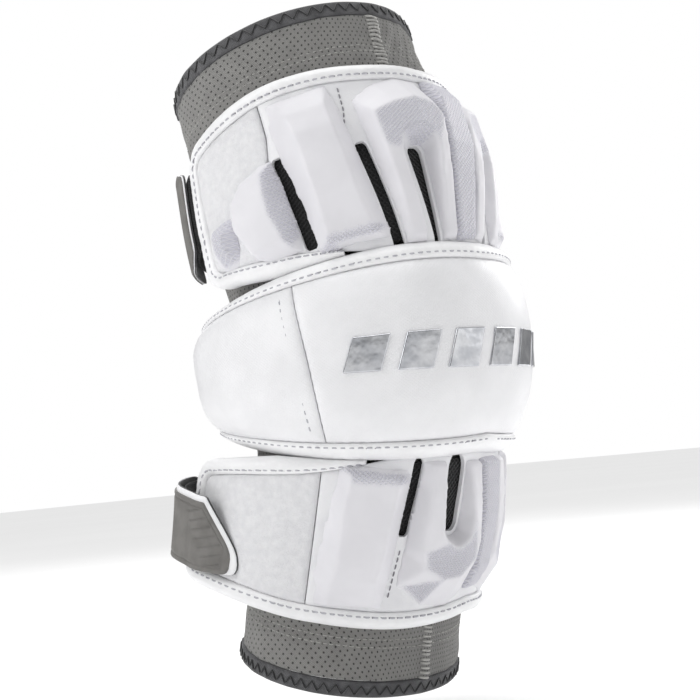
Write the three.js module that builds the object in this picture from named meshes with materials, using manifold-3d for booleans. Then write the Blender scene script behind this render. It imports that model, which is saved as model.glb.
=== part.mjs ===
import * as THREE from 'three';
import Module from 'manifold-3d';
import { mergeVertices } from 'three/addons/utils/BufferGeometryUtils.js';

// A padded arm guard: a knitted tube sleeve, bent at the elbow, that carries a fan of moulded ribs
// over the upper arm, a domed cap over the elbow, a smaller fan over the forearm, and two straps.
// Millimetres. The arm's axis passes the elbow at the origin, +Z runs up to the shoulder and the
// point of the elbow faces -Y. A place on the arm is (turn, s, h): turn is the direction that the
// surface faces, in degrees from the elbow's point towards -X, s is the distance along the arm from
// the elbow, and h is the height above the sleeve.

// Sleeve
const ELBOW_TO_TOP = 155;
const ELBOW_TO_CUFF = 145;
const ELBOW_HALF_WIDTH = 55.5;
const ELBOW_HALF_DEPTH = 59.5;
const BEND_TILT = 14.4;
const BEND_HALF_LENGTH = 50;
const SLEEVE_WALL = 2;
const HEM_WIDTH = 7.5;
const HEM_PROUD = 0.6;

// Pads
const CLEARANCE = 0.45;
const SKIN = 2;
const FOAM_CLEARANCE = 0.8;
const PATCH_CLEARANCE = 0.9;
const PAD_CLEARANCE = 1.2;
const SEAT = 0.9;
const UNROLLED_RADIUS = 68.75;
const UNROLLED_DEGREE = (UNROLLED_RADIUS * Math.PI) / 180;
const CORNER_RADIUS = 14;
const BINDING_WIDTH = 8;
const BINDING_PROUD = 1.2;
const LEAST_BINDING = 0.8;
const FAN_LEAN_END = 96;
const FAN_LEAN_START_TURN = 3.5;
const FAN_LEAN_TURN = 8.5;

const BICEP_REACH = 120;
const BICEP_HALF_WRAP = 112;
const BICEP_FOAM = 9;
const BICEP_HEIGHT = 8.5;
const BICEP_RIB_RISE = 9;
const BICEP_SEAM = 77;
const BICEP_FLARE = 7;
const BICEP_FLARE_FROM = 45;
const BICEP_FLARE_TURNS = [60, 130];
const BICEP_SIDE_DROP = 1;
const BICEP_TOP_DROP = 2;
const BICEP_TOP_DROP_FROM = 70;

const CAP_REACH = 35;
const CAP_DROP = 38;
const CAP_HALF_WRAP = 160;
const CAP_FOAM = 15;
const CAP_EDGE_HEIGHT = 8.8;
const CAP_DOME = 10.4;
const CAP_SIDE_SWELL = 4.6;
const CAP_CURVES = [2.6, 4];
const CAP_CORNER_RADIUS = 30;
const CAP_BINDING_WIDTH = 6.8;
const CAP_SEAM_TURN = 71;
const CAP_SEAM_LEAN = 5;
const CAP_SWELL_TURNS = [60, 138];
const CAP_FADE_TURNS = [130, 160];
const CAP_FADE = 0.2;

const FOREARM_REACH = 112;
const FOREARM_HALF_WRAP = 134;
const FOREARM_TURN = -11;
const FOREARM_FOAM = 10;
const FOREARM_HEIGHT = 7.5;
const FOREARM_RIB_RISE = 8;
const FOREARM_SEAM = 79;
const FOREARM_WING = 21;
const FOREARM_CUFF_WING = 29;
const FOREARM_WING_FROM = 50;
const FOREARM_WING_TURNS = [55, 146];

// Accent bars on the cap
const BAR_COUNT = 7;
const BAR_PITCH = 17.2;
const BAR_WIDTH = 12;
const BAR_LENGTH = 12;
const BAR_MIDDLE = -2;
const BAR_SLANT = 3.5;
const BAR_THICKNESS = 1.2;

// Straps
const STRAP_THICKNESS = 2;
const TAB_THICKNESS = 2.6;
const UPPER_STRAP_WIDTH = 38;
const UPPER_STRAP_MIDDLE = 86;
const UPPER_TAB_WIDTH = 48;
const LOWER_STRAP_WIDTH = 30;
const LOWER_STRAP_MIDDLE = -79;
const LOWER_TAB_WIDTH = 33;
const STRAP_END_GAP = 0.4;
const LOWER_STRAP_OVERLAP = 11;
const TAB_TURN = 29;
const LOWER_TAB_REACH = 18;
const TAB_TAPER = 4;

// Half-widths and half-depths of the arm, as shares of those at the elbow; along is the share of
// the way from the elbow to the top (above 0) or to the cuff (below 0).
const ARM_SECTIONS = [
  { along: -1.0, wide: 0.964, deep: 0.84 },
  { along: -0.5, wide: 0.928, deep: 0.85 },
  { along: 0.0, wide: 1.0, deep: 1.0 },
  { along: 0.5, wide: 1.036, deep: 1.092 },
  { along: 1.0, wide: 1.045, deep: 1.05 },
];

// Outer edges of the pads. round is the share of the way from the middle to the end of the wrap;
// upper and lower are shares of the pad's reach from the elbow, the cap's lower of its drop.
const BICEP_EDGES = [
  { round: 0.0, upper: 0.967, lower: 0.165 },
  { round: 0.25, upper: 0.98, lower: 0.19 },
  { round: 0.45, upper: 1.0, lower: 0.225 },
  { round: 0.63, upper: 1.008, lower: 0.267 },
  { round: 0.78, upper: 0.99, lower: 0.3 },
  { round: 1.0, upper: 0.945, lower: 0.36 },
];
const CAP_EDGES = [
  { round: 0.0, upper: 0.97, lower: 0.96 },
  { round: 0.25, upper: 1.0, lower: 1.02 },
  { round: 0.5, upper: 1.0, lower: 1.07 },
  { round: 1.0, upper: 1.0, lower: 1.1 },
];
const FOREARM_EDGES = [
  { round: 0.0, upper: 0.22, lower: 0.97 },
  { round: 0.3, upper: 0.25, lower: 1.0 },
  { round: 0.6, upper: 0.33, lower: 0.99 },
  { round: 0.85, upper: 0.39, lower: 0.94 },
  { round: 1.0, upper: 0.45, lower: 0.93 },
];

// Ribs that run along the arm, a row for each section from the elbow outwards. s is the share of
// the rib field's length, ridge the same for the two ridges, rise the share of the full rise, and
// the other columns are turns from the fan's middle line.
const BICEP_SMALL_RIB = [
  { s: 0.16, ridge: 0.2, outer: 98, outerRidge: 97, innerRidge: 94, inner: 91.5, rise: 0.15 },
  { s: 0.22, ridge: 0.24, outer: 102, outerRidge: 97.5, innerRidge: 94, inner: 91.5, rise: 0.7 },
  { s: 0.31, ridge: 0.31, outer: 103.5, outerRidge: 98, innerRidge: 94.5, inner: 92, rise: 0.75 },
  { s: 0.36, ridge: 0.35, outer: 103, outerRidge: 98.5, innerRidge: 95.5, inner: 92.5, rise: 0.6 },
  { s: 0.4, ridge: 0.38, outer: 99, outerRidge: 97.5, innerRidge: 95, inner: 93, rise: 0.15 },
];
const BICEP_SIDE_RIB = [
  { s: 0.095, ridge: 0.115, outer: 77, outerRidge: 75, innerRidge: 70, inner: 67, rise: 0.12 },
  { s: 0.14, ridge: 0.15, outer: 84, outerRidge: 82, innerRidge: 71.5, inner: 67.7, rise: 0.85 },
  { s: 0.29, ridge: 0.29, outer: 89, outerRidge: 87, innerRidge: 75, inner: 70.2, rise: 1.0 },
  { s: 0.41, ridge: 0.41, outer: 90, outerRidge: 88, innerRidge: 76.5, inner: 72.4, rise: 0.95 },
  { s: 0.51, ridge: 0.5, outer: 86.5, outerRidge: 84.5, innerRidge: 77.5, inner: 74.6, rise: 0.75 },
  { s: 0.58, ridge: 0.555, outer: 80.5, outerRidge: 79.8, innerRidge: 78.3, inner: 76, rise: 0.15 },
];
const BICEP_BROAD_RIB = [
  { s: 0.055, ridge: 0.07, outer: 60.8, outerRidge: 56, innerRidge: 40.5, inner: 34.5, rise: 0.1 },
  { s: 0.08, ridge: 0.085, outer: 61.5, outerRidge: 57, innerRidge: 41.5, inner: 35.5, rise: 0.5 },
  { s: 0.235, ridge: 0.235, outer: 64.3, outerRidge: 58.7, innerRidge: 46, inner: 40.3, rise: 0.75 },
  { s: 0.435, ridge: 0.435, outer: 69, outerRidge: 61.7, innerRidge: 49.5, inner: 44.3, rise: 0.95 },
  { s: 0.62, ridge: 0.62, outer: 73, outerRidge: 64.5, innerRidge: 53, inner: 48, rise: 1.0 },
  { s: 0.75, ridge: 0.74, outer: 75, outerRidge: 67, innerRidge: 54.5, inner: 49.8, rise: 0.8 },
  { s: 0.88, ridge: 0.86, outer: 75.5, outerRidge: 71, innerRidge: 55.5, inner: 51.5, rise: 0.15 },
];
const BICEP_SPINE = [
  { s: 0.02, ridge: 0.04, outer: 5, outerRidge: 4, rise: 0.3 },
  { s: 0.235, ridge: 0.235, outer: 6.3, outerRidge: 5.2, rise: 0.72 },
  { s: 0.435, ridge: 0.435, outer: 7.2, outerRidge: 6.1, rise: 1.0 },
  { s: 0.72, ridge: 0.71, outer: 7.6, outerRidge: 6.5, rise: 0.95 },
  { s: 0.85, ridge: 0.82, outer: 7.2, outerRidge: 5.5, rise: 0.45 },
];
const FOREARM_BROAD_RIB = [
  { s: 0.075, ridge: 0.095, outer: 71.5, outerRidge: 66, innerRidge: 48, inner: 42.5, rise: 0.15 },
  { s: 0.11, ridge: 0.115, outer: 72, outerRidge: 66, innerRidge: 48.3, inner: 42.8, rise: 0.9 },
  { s: 0.3, ridge: 0.3, outer: 74, outerRidge: 67, innerRidge: 49.5, inner: 43.5, rise: 1.0 },
  { s: 0.6, ridge: 0.6, outer: 76.5, outerRidge: 67, innerRidge: 51, inner: 45, rise: 1.0 },
  { s: 0.7, ridge: 0.69, outer: 77.3, outerRidge: 68, innerRidge: 52, inner: 46, rise: 0.85 },
  { s: 0.87, ridge: 0.85, outer: 78, outerRidge: 71, innerRidge: 51, inner: 47.5, rise: 0.15 },
];
const FOREARM_SPINE = [
  { s: 0.04, ridge: 0.06, outer: 7, outerRidge: 5.8, rise: 0.5 },
  { s: 0.3, ridge: 0.3, outer: 6, outerRidge: 4.9, rise: 0.95 },
  { s: 0.65, ridge: 0.63, outer: 5.2, outerRidge: 4.2, rise: 0.9 },
  { s: 0.78, ridge: 0.76, outer: 5, outerRidge: 3.8, rise: 0.3 },
];

// Arched ribs, a row for each section along the arch. The turns are from the fan's middle line and
// each s is a share of the rib field's length.
const ARCH_COLUMNS = ['outer', 'outerS', 'outerRidge', 'outerRidgeS', 'innerRidge', 'innerRidgeS',
  'inner', 'innerS', 'rise'];
const BICEP_ARCH = [
  [28.6, 0.02, 26, 0.045, 21.5, 0.045, 20.5, 0.02, 0.25],
  [31, 0.12, 28.3, 0.12, 23.5, 0.12, 22, 0.12, 0.5],
  [34, 0.235, 30.5, 0.235, 26, 0.235, 24, 0.235, 0.72],
  [38.3, 0.435, 34.3, 0.435, 29.5, 0.41, 27, 0.41, 0.93],
  [43, 0.765, 37.5, 0.63, 28.5, 0.49, 25.8, 0.45, 0.95],
  [33, 0.84, 30, 0.67, 24.3, 0.53, 22.4, 0.46, 0.95],
  [22, 0.87, 21, 0.69, 19.5, 0.54, 19, 0.465, 1.0],
  [12, 0.85, 12.5, 0.66, 14.5, 0.5, 16.5, 0.45, 0.95],
  [8.2, 0.75, 9, 0.58, 12.8, 0.42, 15.2, 0.41, 1.0],
  [7.8, 0.435, 8.7, 0.435, 12.6, 0.32, 14.6, 0.32, 0.93],
  [7, 0.235, 8, 0.235, 12.1, 0.2, 13.6, 0.2, 0.72],
  [5.8, 0.02, 6.8, 0.045, 10.8, 0.045, 12, 0.02, 0.25],
];
const FOREARM_ARCH = [
  [38, 0.045, 34, 0.06, 29, 0.06, 27.5, 0.045, 0.4],
  [38.3, 0.15, 33.6, 0.15, 28.3, 0.15, 26.8, 0.15, 0.65],
  [38.8, 0.3, 33.4, 0.3, 27.8, 0.28, 26, 0.28, 0.85],
  [40, 0.5, 33.6, 0.5, 27.3, 0.4, 24.8, 0.39, 1.0],
  [42, 0.74, 32, 0.6, 24, 0.45, 22.4, 0.42, 0.95],
  [30, 0.85, 24, 0.67, 19.5, 0.49, 19, 0.435, 0.9],
  [17, 0.87, 16, 0.66, 16, 0.48, 16.5, 0.43, 0.95],
  [7.5, 0.8, 8.5, 0.56, 12.3, 0.42, 14.3, 0.4, 1.0],
  [6.2, 0.5, 7.2, 0.45, 11.6, 0.3, 13.6, 0.3, 1.0],
  [6.7, 0.25, 7.7, 0.25, 12.7, 0.2, 14.4, 0.2, 0.8],
  [7.8, 0.045, 8.8, 0.06, 14.5, 0.06, 16, 0.045, 0.4],
];

// Slots through the skin that show the black backing between two ribs: where each begins and ends
// along the rib field, the turn of its middle line there, and its width in degrees.
const BICEP_SLOTS = [
  { from: 0.07, to: 0.56, fromTurn: 63.8, toTurn: 73.6, width: 3.4 },
  { from: 0.015, to: 0.51, fromTurn: 31.2, toTurn: 42.6, width: 3.6 },
  { from: 0.015, to: 0.44, fromTurn: 16.4, toTurn: 19.8, width: 6.5 },
];
const FOREARM_SLOTS = [
  { from: 0.06, to: 0.43, fromTurn: 40.3, toTurn: 42, width: 3.2 },
  { from: 0.05, to: 0.4, fromTurn: 21.6, toTurn: 19.5, width: 8 },
];

// How far each strap's inner face stands off the sleeve: way is the share of its run from the right
// end of the pad, round the back of the arm, to the left, and lift a share of its height there.
const UPPER_STRAP_PATH = [
  { way: 0.0, lift: 0.26 },
  { way: 0.11, lift: 0.14 },
  { way: 0.35, lift: 0.1 },
  { way: 0.65, lift: 0.1 },
  { way: 0.79, lift: 0.42 },
  { way: 0.88, lift: 0.68 },
  { way: 0.95, lift: 0.82 },
  { way: 1.0, lift: 0.92 },
];
const LOWER_STRAP_PATH = [
  { way: 0.0, lift: 0.733 },
  { way: 0.095, lift: 0.46 },
  { way: 0.19, lift: 0.273 },
  { way: 0.335, lift: 0.187 },
  { way: 0.5, lift: 0.3 },
  { way: 0.65, lift: 0.59 },
  { way: 0.77, lift: 0.87 },
  { way: 0.885, lift: 1.0 },
  { way: 1.0, lift: 0.92 },
];

const KNIT = { color: 0x8a8986, roughness: 0.95, metalness: 0 };
const HEM = { color: 0x5f5f60, roughness: 0.9, metalness: 0 };
const BACKING = { color: 0x0c0c0d, roughness: 0.95, metalness: 0 };
const WHITE_SKIN = { color: 0xe6e6e8, roughness: 0.5, metalness: 0 };
const FLEECE = { color: 0xe8e8ea, roughness: 1, metalness: 0 };
const BINDING = { color: 0xf3f3f4, roughness: 0.45, metalness: 0 };
const RIB = { color: 0xdedde2, roughness: 0.55, metalness: 0 };
const CHROME = { color: 0xc8c9cc, roughness: 0.12, metalness: 1 };
const TAB_GREY = { color: 0x6b6966, roughness: 0.7, metalness: 0 };

const radians = THREE.MathUtils.degToRad;
const lerp = THREE.MathUtils.lerp;
const between = (value, low, high) => THREE.MathUtils.clamp((value - low) / (high - low), 0, 1);
const smooth = (x) => x * x * (3 - 2 * x);

// A table's column at x, on a smooth curve through its rows.
function tableAt(rows, key, column, x) {
  const last = rows.length - 1;
  const way = Math.sign(rows[last][key] - rows[0][key]);
  let i = 0;
  while (i < last - 1 && (rows[i + 1][key] - x) * way < 0) i += 1;
  const slope = (k) => {
    const [before, after] = [rows[Math.max(k - 1, 0)], rows[Math.min(k + 1, last)]];
    return (after[column] - before[column]) / (after[key] - before[key]);
  };
  const [row, next] = [rows[i], rows[i + 1]];
  const width = next[key] - row[key];
  const t = between(x, row[key], next[key]);
  const swing = width * (slope(i) * (1 - t) - slope(i + 1) * t);
  return lerp(row[column], next[column], smooth(t)) + t * (1 - t) * swing;
}

// The arm's half-size at s, as a share of that at the elbow.
function armHalfSize(s, column) {
  const along = s > 0 ? s / ELBOW_TO_TOP : s / ELBOW_TO_CUFF;
  return tableAt(ARM_SECTIONS, 'along', column, along);
}

// The bent axis: its place in the YZ plane and its tilt at s.
function axisAt(s) {
  const tilt = radians(BEND_TILT);
  const bent = Math.min(Math.abs(s), BEND_HALF_LENGTH);
  const straight = Math.abs(s) - bent;
  const angle = (tilt * bent) / BEND_HALF_LENGTH;
  const radius = BEND_HALF_LENGTH / tilt;
  const side = Math.sign(s);
  return {
    y: radius * (1 - Math.cos(angle)) + straight * Math.sin(angle),
    z: side * (radius * Math.sin(angle) + straight * Math.cos(angle)),
    tilt: side * angle,
  };
}

function onArm(turn, s, h) {
  const axis = axisAt(s);
  const wide = armHalfSize(s, 'wide') * ELBOW_HALF_WIDTH;
  const deep = armHalfSize(s, 'deep') * ELBOW_HALF_DEPTH;
  const nx = -Math.sin(radians(turn));
  const ny = -Math.cos(radians(turn));
  const q = Math.hypot(wide * nx, deep * ny);
  const x = (wide * wide * nx) / q + h * nx;
  const y = (deep * deep * ny) / q + h * ny;
  return new THREE.Vector3(x, axis.y + y * Math.cos(axis.tilt), axis.z - y * Math.sin(axis.tilt));
}

// Geometry from points and triangles, with its faces turned outwards.
function solid(points, triangles) {
  let volume = 0;
  for (const [a, b, c] of triangles) {
    volume += points[a].dot(new THREE.Vector3().crossVectors(points[b], points[c]));
  }
  const index = triangles.flatMap(([a, b, c]) => (volume < 0 ? [a, c, b] : [a, b, c]));
  const geometry = new THREE.BufferGeometry();
  geometry.setAttribute('position', new THREE.Float32BufferAttribute(points.flatMap((p) => [p.x, p.y, p.z]), 3));
  geometry.setIndex(index);
  return geometry;
}

// A wall between an inner and an outer face. place(a, b) gives the turn and s at shares a and b of
// the way round and along; inner and outer give the heights there. A closed wall is a tube.
function wall({ columns, rows, place, inner, outer, closed = false }) {
  const points = [];
  const count = closed ? columns : columns + 1;
  for (const height of [inner, outer]) {
    for (let i = 0; i < count; i += 1) {
      for (let j = 0; j <= rows; j += 1) {
        const [turn, s] = place(i / columns, j / rows);
        points.push(onArm(turn, s, height(turn, s)));
      }
    }
  }
  const at = (layer, i, j) => (layer * count + (i % count)) * (rows + 1) + j;
  const triangles = [];
  const quad = (a, b, c, d) => triangles.push([a, b, c], [a, c, d]);
  for (let i = 0; i < columns; i += 1) {
    for (let j = 0; j < rows; j += 1) {
      quad(at(0, i, j), at(0, i, j + 1), at(0, i + 1, j + 1), at(0, i + 1, j));
      quad(at(1, i, j), at(1, i + 1, j), at(1, i + 1, j + 1), at(1, i, j + 1));
    }
    quad(at(0, i, 0), at(0, i + 1, 0), at(1, i + 1, 0), at(1, i, 0));
    quad(at(0, i + 1, rows), at(0, i, rows), at(1, i, rows), at(1, i + 1, rows));
  }
  if (!closed) {
    for (let j = 0; j < rows; j += 1) {
      quad(at(0, 0, j + 1), at(0, 0, j), at(1, 0, j), at(1, 0, j + 1));
      quad(at(0, columns, j), at(0, columns, j + 1), at(1, columns, j + 1), at(1, columns, j));
    }
  }
  return solid(points, triangles);
}

// A body through closed sections of the same number of points, capped at both ends.
function loft(sections) {
  const size = sections[0].length;
  const points = sections.flat();
  const triangles = [];
  for (let i = 0; i < sections.length - 1; i += 1) {
    for (let j = 0; j < size; j += 1) {
      const k = (j + 1) % size;
      triangles.push([i * size + j, i * size + k, (i + 1) * size + k]);
      triangles.push([i * size + j, (i + 1) * size + k, (i + 1) * size + j]);
    }
  }
  const cap = (first, turned) => {
    const ring = points.slice(first, first + size);
    const side = new THREE.Vector3().subVectors(ring[Math.floor(size / 3)], ring[0]).normalize();
    const other = new THREE.Vector3().subVectors(ring[Math.floor((2 * size) / 3)], ring[0]);
    const normal = new THREE.Vector3().crossVectors(side, other).normalize();
    const up = new THREE.Vector3().crossVectors(normal, side);
    const flat = ring.map((p) => new THREE.Vector2(p.dot(side), p.dot(up)));
    const forwards = !THREE.ShapeUtils.isClockWise(flat);
    const faces = THREE.ShapeUtils.triangulateShape(forwards ? flat : flat.slice().reverse(), []);
    for (const face of faces) {
      const [a, b, c] = face.map((k) => first + (forwards ? k : size - 1 - k));
      triangles.push(turned === forwards ? [a, c, b] : [a, b, c]);
    }
  };
  cap(0, true);
  cap(points.length - size, false);
  return solid(points, triangles);
}

// A pad's edges and outline. The outline is worked out on the sleeve rolled flat, with round
// corners where the edges meet the ends of the wrap.
function padShape(pad) {
  const edge = (off, column) => {
    const round = Math.min(Math.abs(off) / pad.halfWrap, 1);
    return tableAt(pad.edges, 'round', column, round) * pad[column];
  };
  const end = pad.halfWrap * UNROLLED_DEGREE;
  const cornerTurn = (end - pad.corner) / UNROLLED_DEGREE;
  const lowCorner = edge(cornerTurn, 'lower') + pad.corner;
  const highCorner = edge(cornerTurn, 'upper') - pad.corner;
  const held = (s, off) => {
    const [low, high] = pad.limits(off + pad.middle);
    return THREE.MathUtils.clamp(s, low, high);
  };
  // The s range at a turn, inset from the outer edge.
  const span = (turn, inset) => {
    const off = turn - pad.middle;
    const past = Math.abs(off) * UNROLLED_DEGREE - (end - pad.corner);
    if (past <= 0) {
      return [held(edge(off, 'lower') + inset, off), held(edge(off, 'upper') - inset, off)];
    }
    const radius = pad.corner - inset;
    const rise = Math.sqrt(Math.max(radius * radius - past * past, 0));
    return [held(lowCorner - rise, off), held(highCorner + rise, off)];
  };
  // The turn from the pad's middle where an edge that the cap holds back has room for its binding.
  const openTurn = (column) => {
    const inward = column === 'lower' ? BINDING_WIDTH : -BINDING_WIDTH;
    const room = (off) => Math.abs(held(edge(off, column) + inward, off) - held(edge(off, column), off));
    let off = 0;
    while (room(off) < LEAST_BINDING && off < cornerTurn - 1) off += 1;
    return off;
  };
  const endTurn = (side, inset) => pad.middle + (side * (end - inset)) / UNROLLED_DEGREE;
  // Half of the outline, from the lower edge at from, round the end, to the upper edge at to, both
  // in degrees from the pad's middle.
  const half = (inset, from, to, lowerSteps, cornerSteps, upperSteps) => {
    const line = [];
    for (let i = 0; i < lowerSteps; i += 1) {
      const off = lerp(from, cornerTurn, i / lowerSteps);
      line.push([off, held(edge(off, 'lower') + inset, off)]);
    }
    const radius = pad.corner - inset;
    const corner = (centre, start) => {
      for (let i = 0; i <= cornerSteps; i += 1) {
        const angle = start + ((Math.PI / 2) * i) / cornerSteps;
        const off = cornerTurn + (radius * Math.cos(angle)) / UNROLLED_DEGREE;
        line.push([off, held(centre + radius * Math.sin(angle), off)]);
      }
    };
    corner(lowCorner, -Math.PI / 2);
    corner(highCorner, 0);
    for (let i = 1; i <= upperSteps; i += 1) {
      const off = lerp(cornerTurn, to, i / upperSteps);
      line.push([off, held(edge(off, 'upper') - inset, off)]);
    }
    return line;
  };
  return { span, openTurn, endTurn, half };
}

const mirrorLine = (line) => line.map(([off, s]) => [-off, s]).reverse();

// The folded tape along a pad's edge, from an outer and an inner line.
function bindingLoft(pad, outerLine, innerLine, closed) {
  const sections = outerLine.map(([outerOff, outerS], i) => {
    const [innerOff, innerS] = innerLine[i];
    const point = (share, lift) => {
      const turn = pad.middle + lerp(innerOff, outerOff, share);
      const s = lerp(innerS, outerS, share);
      const low = pad.underside(turn, s);
      return onArm(turn, s, lerp(low, pad.surface(turn, s) + BINDING_PROUD, lift));
    };
    return [point(0, 0), point(0, 0.96), point(0.4, 1), point(0.82, 0.86), point(1, 0.5), point(0.85, 0.08)];
  });
  if (!closed) {
    return loft(sections);
  }
  const size = sections[0].length;
  const points = sections.flat();
  const triangles = [];
  for (let i = 0; i < sections.length; i += 1) {
    const next = (i + 1) % sections.length;
    for (let j = 0; j < size; j += 1) {
      const k = (j + 1) % size;
      triangles.push([i * size + j, i * size + k, next * size + k]);
      triangles.push([i * size + j, next * size + k, next * size + j]);
    }
  }
  return solid(points, triangles);
}

// A patch of a pad between two turns that may lean with s, inside its binding.
function padPatch(pad, { from, to, inset, inner, outer, columns, rows }) {
  return wall({
    columns,
    rows,
    inner,
    outer,
    place: (a, b) => {
      const share = 0.5 + (1.25 * (2 * a - 1) - 0.25 * (2 * a - 1) ** 3) / 2;
      let s = 0;
      for (let round = 0; round < 4; round += 1) {
        const [low, high] = pad.shape.span(lerp(from(s), to(s), share), inset);
        s = lerp(low, high, b);
      }
      return [lerp(from(s), to(s), share), s];
    },
  });
}

// A rib along the arm, on either side of the fan's middle line.
function straightRib(pad, table, side, steps) {
  const sections = table.map((row) => {
    const s = pad.ribStart + row.s * pad.ribLength;
    const ridgeS = pad.ribStart + row.ridge * pad.ribLength;
    const inner = row.inner ?? -row.outer;
    const innerRidge = row.innerRidge ?? -row.outerRidge;
    return ribSection(pad, side, [row.outer, s], [row.outerRidge, ridgeS], [innerRidge, ridgeS], [inner, s],
      row.rise, steps);
  });
  return loft(sections);
}

function archRib(pad, table, side, steps) {
  const sections = table.map((values) => {
    const row = Object.fromEntries(ARCH_COLUMNS.map((name, i) => [name, values[i]]));
    const place = (name) => [row[name], pad.ribStart + row[`${name}S`] * pad.ribLength];
    return ribSection(pad, side, place('outer'), place('outerRidge'), place('innerRidge'), place('inner'),
      row.rise, steps);
  });
  return loft(sections);
}

function ribSection(pad, side, outer, outerRidge, innerRidge, inner, rise, steps) {
  const seat = ([turn, s], lift) => {
    const placed = pad.fanMiddle(s) + side * turn;
    return onArm(placed, s, pad.surface(placed, s) + CLEARANCE + lift);
  };
  const top = rise * pad.ribRise;
  const section = [seat(outer, 0), seat(outerRidge, top), seat(innerRidge, top), seat(inner, 0)];
  for (let i = 1; i < steps; i += 1) {
    const share = i / steps;
    section.push(seat([lerp(inner[0], outer[0], share), lerp(inner[1], outer[1], share)], 0));
  }
  return section;
}

const wasm = await Module();
wasm.setup();

function toManifold(geometry) {
  const bare = mergeVertices(geometry);
  return new wasm.Manifold(new wasm.Mesh({
    numProp: 3,
    vertProperties: new Float32Array(bare.attributes.position.array),
    triVerts: new Uint32Array(bare.index.array),
  }));
}

function cutAway(geometry, cutters) {
  const result = cutters.reduce((body, cutter) => body.subtract(toManifold(cutter)), toManifold(geometry));
  const mesh = result.getMesh();
  const cut = new THREE.BufferGeometry();
  cut.setAttribute('position', new THREE.Float32BufferAttribute(mesh.vertProperties, 3));
  cut.setIndex(Array.from(mesh.triVerts));
  return cut;
}

function slotCutters(pad, slots) {
  return slots.flatMap((slot) => [1, -1].map((side) => wall({
    columns: 2,
    rows: 4,
    inner: (turn, s) => pad.surface(turn, s) - SKIN - 1,
    outer: (turn, s) => pad.surface(turn, s) + 1,
    place: (a, b) => {
      const along = lerp(slot.from, slot.to, b);
      const middle = lerp(slot.fromTurn, slot.toTurn, b);
      const taper = b === 1 ? 0.55 : 1;
      const s = pad.ribStart + along * pad.ribLength;
      return [pad.fanMiddle(s) + side * (middle + (a - 0.5) * slot.width * taper), s];
    },
  })));
}

// The two rib pads and the cap. surface is the height of the skin's outer face, underside that of
// the foam's inner face, and fanMiddle the turn of the ribs' middle line.
function makePad(values) {
  const pad = { corner: CORNER_RADIUS, middle: 0, limits: () => [-Infinity, Infinity], ...values };
  pad.underside = (turn, s) => Math.max(SEAT, pad.surface(turn, s) - pad.foam);
  pad.shape = padShape(pad);
  return pad;
}

const capEdge = (turn, column) => tableAt(CAP_EDGES, 'round', column, between(Math.abs(turn), 0, CAP_HALF_WRAP));
const capHeight = (turn, s) => {
  const low = -CAP_DROP * capEdge(turn, 'lower');
  const share = Math.min(Math.abs((2 * (s - low)) / (CAP_REACH - low) - 1), 1);
  const side = smooth(between(Math.abs(turn), ...CAP_SWELL_TURNS));
  const dome = 1 - share ** lerp(...CAP_CURVES, side);
  const swell = CAP_SIDE_SWELL * side;
  const fade = 1 - CAP_FADE * smooth(between(Math.abs(turn), ...CAP_FADE_TURNS));
  return (CAP_EDGE_HEIGHT + (CAP_DOME + swell) * dome) * fade;
};

const cap = makePad({
  upper: CAP_REACH,
  lower: -CAP_DROP,
  halfWrap: CAP_HALF_WRAP,
  foam: CAP_FOAM,
  edges: CAP_EDGES,
  corner: CAP_CORNER_RADIUS,
  surface: capHeight,
});

const bicep = makePad({
  upper: BICEP_REACH,
  lower: BICEP_REACH,
  halfWrap: BICEP_HALF_WRAP,
  foam: BICEP_FOAM,
  edges: BICEP_EDGES,
  limits: (turn) => [CAP_REACH * capEdge(turn, 'upper') + PAD_CLEARANCE, Infinity],
  ribStart: CAP_REACH,
  ribLength: BICEP_REACH - CAP_REACH,
  ribRise: BICEP_RIB_RISE,
  surface: (turn, s) => {
    const flare = lerp(BICEP_FLARE, 0, between(s, BICEP_FLARE_FROM, BICEP_REACH)) - BICEP_SIDE_DROP;
    const side = smooth(between(Math.abs(turn), ...BICEP_FLARE_TURNS));
    return BICEP_HEIGHT + flare * side - BICEP_TOP_DROP * smooth(between(s, BICEP_TOP_DROP_FROM, BICEP_REACH));
  },
  fanMiddle: (s) => FAN_LEAN_START_TURN - FAN_LEAN_TURN * between(s, CAP_REACH, FAN_LEAN_END),
});

const forearm = makePad({
  upper: -FOREARM_REACH,
  lower: -FOREARM_REACH,
  halfWrap: FOREARM_HALF_WRAP,
  foam: FOREARM_FOAM,
  edges: FOREARM_EDGES,
  middle: FOREARM_TURN,
  limits: (turn) => [-Infinity, -CAP_DROP * capEdge(turn, 'lower') - PAD_CLEARANCE],
  ribStart: -CAP_DROP,
  ribLength: -(FOREARM_REACH - CAP_DROP),
  ribRise: FOREARM_RIB_RISE,
  surface: (turn, s) => {
    const flare = lerp(FOREARM_WING, FOREARM_CUFF_WING, between(-s, FOREARM_WING_FROM, FOREARM_REACH));
    return FOREARM_HEIGHT + flare * smooth(between(Math.abs(turn - FOREARM_TURN), ...FOREARM_WING_TURNS));
  },
  fanMiddle: () => FOREARM_TURN,
});

const assembly = new THREE.Group();
function add(name, geometry, finish) {
  geometry.computeVertexNormals();
  const mesh = new THREE.Mesh(geometry, new THREE.MeshStandardMaterial(finish));
  mesh.name = name;
  assembly.add(mesh);
}

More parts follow.
